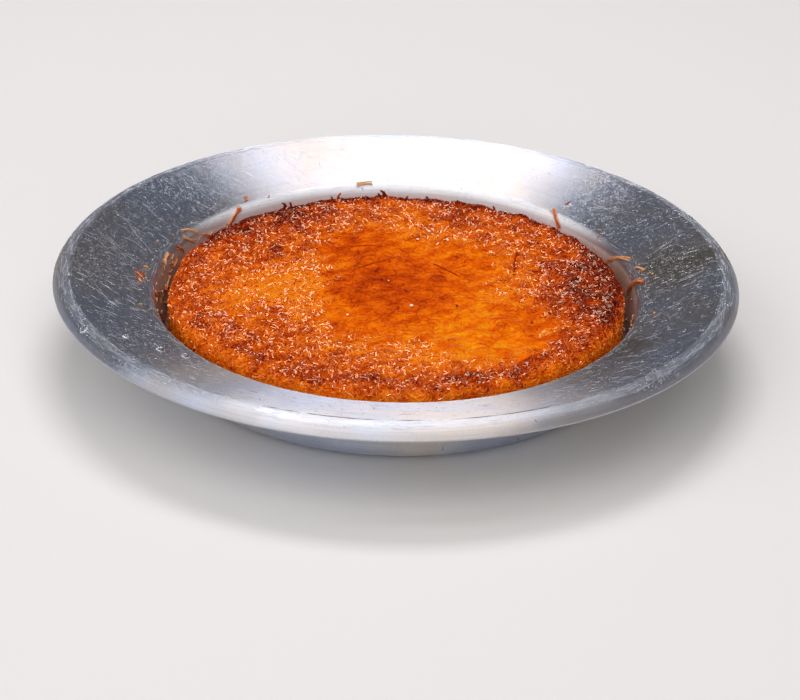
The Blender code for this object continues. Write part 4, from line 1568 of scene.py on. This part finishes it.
    def dark_lines(self) -> Array:
        """The few long dark strands in the middle: curves through three places, a hair over the skin.

        Returns:
            (count, steps, 3) points.
        """
        share = np.linspace(0.0, 1.0, 13)
        first, last = (1 - share) * (1 - 2 * share), share * (2 * share - 1)
        weights = np.stack([first, 4 * share * (1 - share), last])
        x, y = np.einsum("nkc,ks->cns", metres(self.dark_strands), weights)
        return self.skin.place(x, y, 0.10 * MM - 0.45 * MM * np.abs(2 * share - 1) ** 6)

    def build_flecks(self, finish: Finish) -> None:
        """The few odd specks on the top, pale or dark, as short bits of three steps.

        The pale ones are partly real pale specks and partly painted glints, near-white spots of light.

        Args:
            finish: the piece's material.
        """
        x, y, half, brown = np.array(self.flecks).T[:, :, None]
        draw = np.random.default_rng(self.fleck_seed)
        heading = draw.uniform(0.0, math.tau, x.shape)
        u = np.linspace(-1.2, 1.2, 4)
        half = half * MM * (1.0 - 0.25 * u * u)
        x, y = np.stack([x, y]) * MM + polar(half * u, heading)
        lines, spin = self.skin.place(x, y, 0.5 * MM), draw.uniform(0.0, 1.0, len(x))
        shape = tube_bundle(lines, half, self.strand_sides, 0.6, spin)
        brown = tube_values(brown, half, self.strand_sides)
        build_piece("flecks", shape, finish, "baked_crust", smooth=False, brownness=brown)

    def build_raised(self, finish: Finish) -> None:
        """Every large strand as one piece, from (lines, change of brownness, half width over a strand's).

        Args:
            finish: the piece's material.
        """
        draw = np.random.default_rng(self.raised_seed)
        shapes, browns = [], []
        kinds = (
            (self.raised_lines(), 0.06, 0.42), (self.edge_lines(), -0.02, 0.42),
            (self.curl_lines(), 0.26, 0.50), (self.dark_lines(), 0.27, 0.36),
        )
        for lines, shift, width in kinds:
            count, steps, _ = lines.shape
            u = np.linspace(-1.0, 1.0, steps)
            x, y = lines[:, steps // 2, :2].T
            slim = 1.0 - 0.5 * self.pressed(x, y) * (width > 0.4)
            half = self.strand * width * (slim * draw.uniform(0.8, 1.1, count))[:, None] * (1.0 - 0.45 * u**4)
            shapes.append(tube_bundle(lines, half, self.strand_sides, 0.85, draw.uniform(0.0, 1.0, count)))
            brown = np.minimum(self.toasting.at(x, y), self.raised_darkest) + shift
            brown = brown + draw.normal(0.0, 0.06, count)
            browns.append(tube_values(brown[:, None], half, self.strand_sides))
        brown = np.clip(np.concatenate(browns), 0.0, 1.0)
        build_piece("raised_strands", joined(shapes), finish, "baked_crust", brownness=brown)


@dataclass
class LooseShreds:
    """The shreds of pastry that lie on the pan's wall and rim, each in place of its solid.

    Each is (out over the rim, degrees) of its start, the same of its end, its middle's bow, its width and its
    brownness, with lengths in millimetres.
    """

    pan: Pan
    shreds: tuple = (
        (1.2, 100.6, 1.8, 96.6, 0.3, 1.2, 0.22), (-4.4, 138.4, 0.6, 133.2, 0.5, 1.3, 0.34),
        (2.6, 153.6, -1.6, 149.4, 0.7, 0.9, 0.22), (0.6, 155.2, -3.4, 151.0, -0.6, 0.9, 0.26),
        (-2.8, 148.6, -5.6, 144.6, 0.8, 1.0, 0.42), (-0.8, 159.6, -4.2, 157.0, 0.4, 1.1, 0.50),
        (-1.6, 168.6, -0.4, 164.2, 0.6, 1.0, 0.24), (-6.0, 163.8, -4.4, 160.6, -0.4, 0.8, 0.34),
        (-10.0, 171.0, -7.6, 166.6, 0.6, 1.0, 0.34), (-3.0, 183.4, -7.4, 179.6, 0.5, 0.9, 0.42),
        (6.2, 178.8, 3.2, 180.6, 0.3, 1.2, 0.66), (4.4, 129.4, 2.4, 130.4, 0.2, 0.9, 0.56),
        (2.2, 48.6, -3.2, 44.2, 0.6, 1.3, 0.46), (-5.0, 24.6, 1.8, 15.8, 0.8, 1.0, 0.24),
        (2.0, 11.4, 4.2, 8.8, 0.3, 1.1, 0.20), (-6.8, 8.6, 2.4, 3.4, 1.4, 1.5, 0.52),
    )
    steps: int = 13
    fibres: int = 5
    sides: int = 6
    seed: int = 200

    def build(self, finish: Finish) -> None:
        """Builds each shred as a few fibres side by side, which part a little at their ends.

        A fibre runs between the shred's ends over the pan's face, bowed by the sine of its share, and swings
        sideways by its own place across the shred, more at the ends.

        Args:
            finish: the loose pastry's material.
        """
        share, reach = np.linspace(0.0, 1.0, self.steps), self.pan.mouth_corner
        side = (np.arange(self.fibres) - (self.fibres - 1) / 2)[:, None] / self.fibres
        one_each, all_steps = (self.fibres, 1), (self.fibres, self.steps)
        for number, row in enumerate(self.shreds, start=1):
            first, first_turn, last, last_turn, bow, width, shade = row
            first, last, bow, width = metres((first, last, bow, width))
            draw = np.random.default_rng(self.seed + number)
            parting = side * width * (0.75 + 0.9 * (2 * share - 1) ** 2)
            phase = draw.uniform(0.0, 1.0, one_each)
            wave = 0.10 * MM * np.sin(math.tau * (share * draw.uniform(0.8, 2.4, one_each) + phase))
            along = first + (last - first) * share + bow * np.sin(math.pi * share)
            turn = np.radians(first_turn + (last_turn - first_turn) * share)
            over, round_way = last - first, turn[-1] - turn[0]
            size, offset = math.hypot(over, round_way * reach), parting + wave
            along = along - offset * round_way * reach / size
            turn = turn + offset * over / size / reach
            stacked = draw.permutation(self.fibres)[:, None] / self.fibres
            lift = width * (0.22 + 0.38 * stacked) + draw.uniform(-0.05, 0.05, all_steps) * MM
            ragged = draw.uniform(0.75, 1.2, all_steps)
            half = width * 0.20 * (1.0 - 0.5 * np.abs(2 * share - 1) ** 4) * ragged
            lines, spin = self.pan.on_face(along, turn, lift), draw.uniform(0, 1, self.fibres)
            shape = tube_bundle(lines, half, self.sides, 0.8, spin)
            brown = shade + draw.normal(0.0, 0.16, one_each) + draw.normal(0.0, 0.06, all_steps)
            brown = tube_values(np.clip(brown, 0.0, 1.0), half, self.sides)
            name, node = f"dry_shred_{number:02d}", f"loose_shred_{number:02d}"
            build_piece(name, shape, finish, "loose_pastry", node, smooth=False, brownness=brown)


@dataclass
class Crumbs:
    """Small broken bits of pastry on the pan's wall, in the gap and here and there on the rim.

    Each drift is (count, lowest and highest way out over the rim in millimetres, first and last degrees).
    """

    pan: Pan
    drifts: tuple = (
        (76, -16.0, -2.0, 138.0, 198.0), (30, -18.0, -6.0, 198.0, 240.0), (30, -17.0, -3.0, -14.0, 34.0),
        (16, -18.0, -6.0, 34.0, 80.0), (12, -18.0, -8.0, 86.0, 138.0), (9, 0.5, 7.0, 120.0, 200.0),
        (6, 1.0, 9.0, -30.0, 50.0),
    )
    lengths: Span = (0.5, 2.4)
    widths: Span = (0.35, 0.9)
    steps: int = 4
    sides: int = 4
    seed: int = 90

    def build(self, finish: Finish) -> None:
        """All crumbs as one piece of short thick bits, each bent by a drawn amount.

        Args:
            finish: the piece's material.
        """
        draw = np.random.default_rng(self.seed)
        places = []
        for count, low, high, first, last in self.drifts:
            along = draw.uniform(low, high, count) * MM
            places.append((along, np.radians(draw.uniform(first, last, count))))
        along, turn = np.concatenate(places, axis=1)[:, :, None]
        one_each, u = along.shape, np.linspace(-0.5, 0.5, self.steps)
        length = draw.uniform(*self.lengths, one_each) * MM
        heading = draw.uniform(0.0, math.tau, one_each)
        over, aside = polar(length * u, heading + draw.normal(0.0, 0.8, one_each) * u)
        width = draw.uniform(*self.widths, one_each) * MM
        half = width / 2 * draw.uniform(0.7, 1.1, over.shape)
        lines = self.pan.on_face(along + over, turn + aside / self.pan.mouth_corner, half + 0.02 * MM)
        shape = tube_bundle(lines, half, self.sides, 0.85, draw.uniform(0, 1, len(along)))
        brown = np.clip(0.34 + draw.normal(0.0, 0.15, one_each), 0.05, 0.85)
        build_piece("crumbs", shape, finish, "loose_pastry", brownness=tube_values(brown, half, self.sides))


@dataclass
class Syrup:
    """Clear syrup: a thin ring in the gap round the cake, and droplets that splashed on the rim.

    Each droplet is (distance from the pan's axis, degrees round it, radius, height over radius), with its
    lengths in millimetres. Round each stands a pale ring, a painted highlight of its meniscus.
    """

    pan: Pan
    skin: CakeSkin
    depth: float = 1.7 * MM
    under_cake: float = 8.0 * MM
    ring_segments: int = 180
    droplets: tuple = (
        (112.4, 208.0, 1.4, 0.28), (101.4, 212.5, 1.1, 0.60), (94.7, 218.5, 1.4, 0.62),
        (89.1, 222.0, 1.3, 0.62), (78.7, 5.0, 0.9, 0.50), (97.6, 216.0, 0.35, 0.60),
    )
    droplet_segments: int = 20
    droplet_rings: int = 8
    droplet_sunk: float = 0.10
    rim_glint_thickness: float = 0.15 * MM
    rim_glint_segments: int = 28
    rim_glint_sides: int = 6

    def drops(self) -> Array:
        """The droplets, with their lengths in metres."""
        return np.array(self.droplets) * (MM, 1.0, MM, 1.0)

    def build_ring(self, finish: Finish) -> None:
        """The ring in the gap: a low section with a hollow top, turned about Z.

        Its top sags towards its middle, as a liquid that wets both walls does.

        Args:
            finish: the syrup's material.
        """
        inner, outer = self.skin.radius - self.under_cake, self.pan.floor_corner - 0.2 * MM
        share = np.linspace(0.0, 1.0, 9)
        reach = inner + (outer - inner) * share
        top = self.pan.sheet + self.depth * (0.55 + 0.45 * (2 * share - 1) ** 2)
        base = np.full_like(share, self.pan.sheet + 0.05 * MM)
        section = np.concatenate([np.stack([reach, top], -1), np.stack([reach, base], -1)[::-1]])
        rings = around(section[:, :1], full_turn(self.ring_segments), section[:, 1:])
        build_piece("syrup_ring", hoop(rings), finish, "baked_crust")

    def build_rim_glints(self, finish: Finish) -> None:
        """The pale rings round the droplets, painted highlights of their menisci, as thin uneven tubes.

        Args:
            finish: the piece's material.
        """
        turn, swing = full_turn(self.rim_glint_segments), full_turn(self.rim_glint_sides)[:, None]
        shapes = []
        for number, (distance, degrees, radius, _) in enumerate(self.drops()):
            uneven = 1.0 + 0.06 * np.sin(2 * turn + number) + 0.04 * np.sin(5 * turn + 2 * number)
            thick = self.rim_glint_thickness * (1.0 + 0.45 * np.sin(turn + 1.7 * number)) * min(1.0, radius / MM)
            over, lift = polar(thick, swing)
            over, aside = polar(0.97 * radius * uneven + over, turn)
            angle = math.radians(degrees) + aside / distance
            lift = 0.4 * self.rim_glint_thickness + lift
            ring = hoop(self.pan.on_face(self.pan.along_at(distance) + over, angle, lift))
            shapes.append(ring._replace(quads=ring.quads[:, ::-1]))
        shape = joined(shapes)
        build_piece("dried_rings", shape, finish, "aluminium", shine=np.ones(len(shape.points)))

    def build_droplets(self, finish: Finish) -> None:
        """The droplets as one piece of low domes, each round on the pan's own slope.

        A dome is radius * sin t round its middle, at its height share * radius * cos t over the face.

        Args:
            finish: the syrup's material.
        """
        tilt = np.linspace(0.0, math.pi, self.droplet_rings + 2)[1:-1, None]
        shapes = []
        for distance, degrees, radius, share in self.drops():
            along, turn = self.pan.along_at(distance), math.radians(degrees)
            over, aside = polar(radius * np.sin(tilt), full_turn(self.droplet_segments))
            lift = share * radius * np.cos(tilt) + self.droplet_sunk * radius
            ends = np.array([self.droplet_sunk + share, self.droplet_sunk - share]) * radius
            dome = self.pan.on_face(along + over, turn + aside / distance, lift)
            shapes.append(capped(dome, self.pan.on_face(along, turn, ends)))
        build_piece("syrup_droplets", joined(shapes), finish, "aluminium")


@dataclass
class Studio:
    """A pale floor, plain soft lights and the camera.

    Each light is (name, degrees clockwise from +Y seen from above, degrees above the floor, distance, size,
    watts, colour).
    """

    floor_colour: Colour = (0.84, 0.83, 0.81)
    floor_roughness: float = 0.65
    floor_radius: float = 6.0
    floor_gap: float = 0.05 * MM
    air: Colour = (0.082, 0.087, 0.108)
    backdrop: Colour = (0.62, 0.62, 0.62)
    lights: tuple = (
        ("back_light", -1.5, 64.0, 1.3, (0.70, 0.34), 6.5, (1.0, 0.96, 0.97)),
        ("front_fill", 180.0, 55.0, 2.0, (2.6, 1.8), 20.5, (1.0, 0.96, 0.93)),
        ("left_fill", -112.0, 38.0, 2.0, (2.0, 1.2), 10.0, (1.0, 0.98, 0.97)),
        ("top_light", -10.0, 85.0, 1.5, (2.4, 0.42), 4.2, (1.0, 0.98, 0.98)),
        ("low_fill", 180.0, 16.0, 2.0, (2.2, 0.5), 6.0, (0.96, 0.98, 1.0)),
    )
    elevation: float = 25.7
    roll: float = 1.35
    lens: float = 117.0
    distance: float = 0.875
    nearest_seen: float = 0.05
    aim: tuple[float, float, float] = (0.0, 0.0, 0.029)
    image: Span = (800.0, 700.0)
    aim_pixel: Span = (394.6, 268.7)

    def build(self) -> None:
        """Makes the floor, the lights, the surroundings and the camera."""
        self.build_floor()
        for row in self.lights:
            self.build_light(*row)
        self.build_air()
        self.build_camera()

    def build_floor(self) -> None:
        """A round floor just under the pan."""
        bpy.ops.mesh.primitive_circle_add(vertices=96, radius=self.floor_radius, fill_type="NGON")
        floor = bpy.context.active_object
        floor.name = "floor"
        floor.data.transform(Matrix.Translation((0.0, 0.0, -self.floor_gap)))
        finish, net, shader = new_material("pale_floor")
        net.fill(shader, {"Base Color": self.floor_colour, "Roughness": self.floor_roughness})
        floor.data.materials.append(finish)

    @staticmethod
    def build_light(
        name: str, azimuth: float, elevation: float, distance: float, size: Span, watts: float, colour: Colour
    ) -> None:
        """An oblong soft light that faces the cake, from a row of the lights.

        Args:
            name: the light's name.
            azimuth: degrees clockwise from +Y, seen from above.
            elevation: degrees above the floor.
            distance: metres from the origin.
            size: its sides, in metres.
            watts: its power.
            colour: its colour.
        """
        lamp = bpy.data.lights.new(name, "AREA")
        lamp.shape = "RECTANGLE"
        lamp.size, lamp.size_y = size
        lamp.energy, lamp.color = watts, colour
        made = bpy.data.objects.new(name, lamp)
        a, e = math.radians(azimuth), math.radians(elevation)
        way = Vector((math.sin(a) * math.cos(e), math.cos(a) * math.cos(e), math.sin(e)))
        made.location = way * distance
        made.rotation_euler = way.to_track_quat("Z", "Y").to_euler()
        bpy.context.scene.collection.objects.link(made)

    def build_air(self) -> None:
        """Dim cool surroundings, which look like a plain pale backdrop where the camera sees them."""
        world = bpy.data.worlds.new("studio")
        world.use_nodes = True
        bpy.context.scene.world = world
        net, nodes = NodeNet(world.node_tree), world.node_tree.nodes
        dim = nodes["Background"]
        net.feed(dim.inputs["Color"], self.air)
        pale = net.add("Background", {"Color": self.backdrop})
        seen = net.add("LightPath").outputs["Is Camera Ray"]
        both = net.add("MixShader", {0: seen, 1: dim.outputs[0], 2: pale.outputs[0]})
        net.feed(nodes["World Output"].inputs["Surface"], both.outputs[0])

    def build_camera(self) -> None:
        """The camera at the photograph's angle, turned so that the lip's middle falls on its own pixel."""
        camera = bpy.data.cameras.new("camera")
        camera.sensor_fit = "HORIZONTAL"
        camera.lens, camera.clip_start = self.lens, self.nearest_seen
        made = bpy.data.objects.new("camera", camera)
        bpy.context.scene.collection.objects.link(made)
        bpy.context.scene.camera = made
        e = math.radians(self.elevation)
        back = Vector((0.0, -math.cos(e), math.sin(e)))
        focal = self.lens / camera.sensor_width * self.image[0]
        dx, dy = ((pixel - size / 2) / focal for pixel, size in zip(self.aim_pixel, self.image))
        place = Matrix.Translation(Vector(self.aim) + back * self.distance)
        facing = (-back).to_track_quat("-Z", "Y").to_matrix().to_4x4()
        aside = Matrix.Rotation(math.atan(dx), 4, "Y") @ Matrix.Rotation(math.atan(dy), 4, "X")
        made.matrix_world = place @ facing @ aside @ Matrix.Rotation(math.radians(self.roll), 4, "Z")


def main() -> None:
    """Builds the studio and every piece of the kunafa and its pan."""
    logging.basicConfig(level=logging.INFO, format="%(message)s")
    Studio().build()
    bpy.context.scene.view_settings.view_transform = "Standard"
    before = set(bpy.data.objects)
    patterns, amber, sugar_and_glint_colour = Patterns(), (0.90, 0.33, 0.03), (1.0, 0.84, 0.58)
    crust, glazed, crusty, soaked, dry, sugar_and_glint_flecks = (pastry.build(patterns) for pastry in (
        BakedPastry("baked_crust", gloss=0.02, mottle=0.08, grain_depth=0.08 * MM),
        BakedPastry("glazed_strand", roughness=0.10, mottle=0.06, dryness=0.36, dry_colour=amber),
        BakedPastry("crusty_strand", gloss=0.03, mottle=0.06, dryness=0.36, dry_colour=amber),
        BakedPastry("soaked_strand", gloss=0.02, mottle=0.08),
        BakedPastry("dry_pastry", gloss=0.2, roughness=0.5, mottle=0.10, dryness=0.85),
        # Pale flecks: partly real pale specks, partly painted glints
        BakedPastry("sugary_bits", gloss=0.4, roughness=0.3, dryness=1.0, dry_colour=sugar_and_glint_colour),
    ))
    pan, kunafa = Pan(), Kunafa()
    mouth_at, lip_at = pan.length_to(pan.mouth), pan.length_to(pan.lip_start)
    pan.build(WornAluminium().build(patterns, mouth_at, lip_at, lip_at + pan.groove_place))
    scored = ScoredMetal().build()
    Scoring(pan).build(scored)
    kunafa.build_core(crust)
    for batch in BATCHES:
        plain = soaked if batch.coverage is Coverage.MIDDLE else crusty
        kunafa.build_batch(batch, glazed if batch.lean else plain)
    kunafa.build_raised(soaked)
    kunafa.build_flecks(sugar_and_glint_flecks)
    LooseShreds(pan).build(dry)
    Crumbs(pan).build(dry)
    syrup = Syrup(pan, kunafa.skin)
    syrup.build_ring(ClearSyrup("amber_syrup", (0.95, 0.55, 0.16)).build())
    # The pale rings round the droplets are painted highlights of their menisci, in the scratches' bright
    # metal
    syrup.build_rim_glints(scored)
    syrup.build_droplets(ClearSyrup("clear_syrup", (1.0, 0.97, 0.92)).build())
    for piece in sorted(set(bpy.data.objects) - before, key=lambda made: made.name):
        LOG.info("%s: %d faces", piece.name, len(piece.data.polygons))


if __name__ == "__main__":
    main()
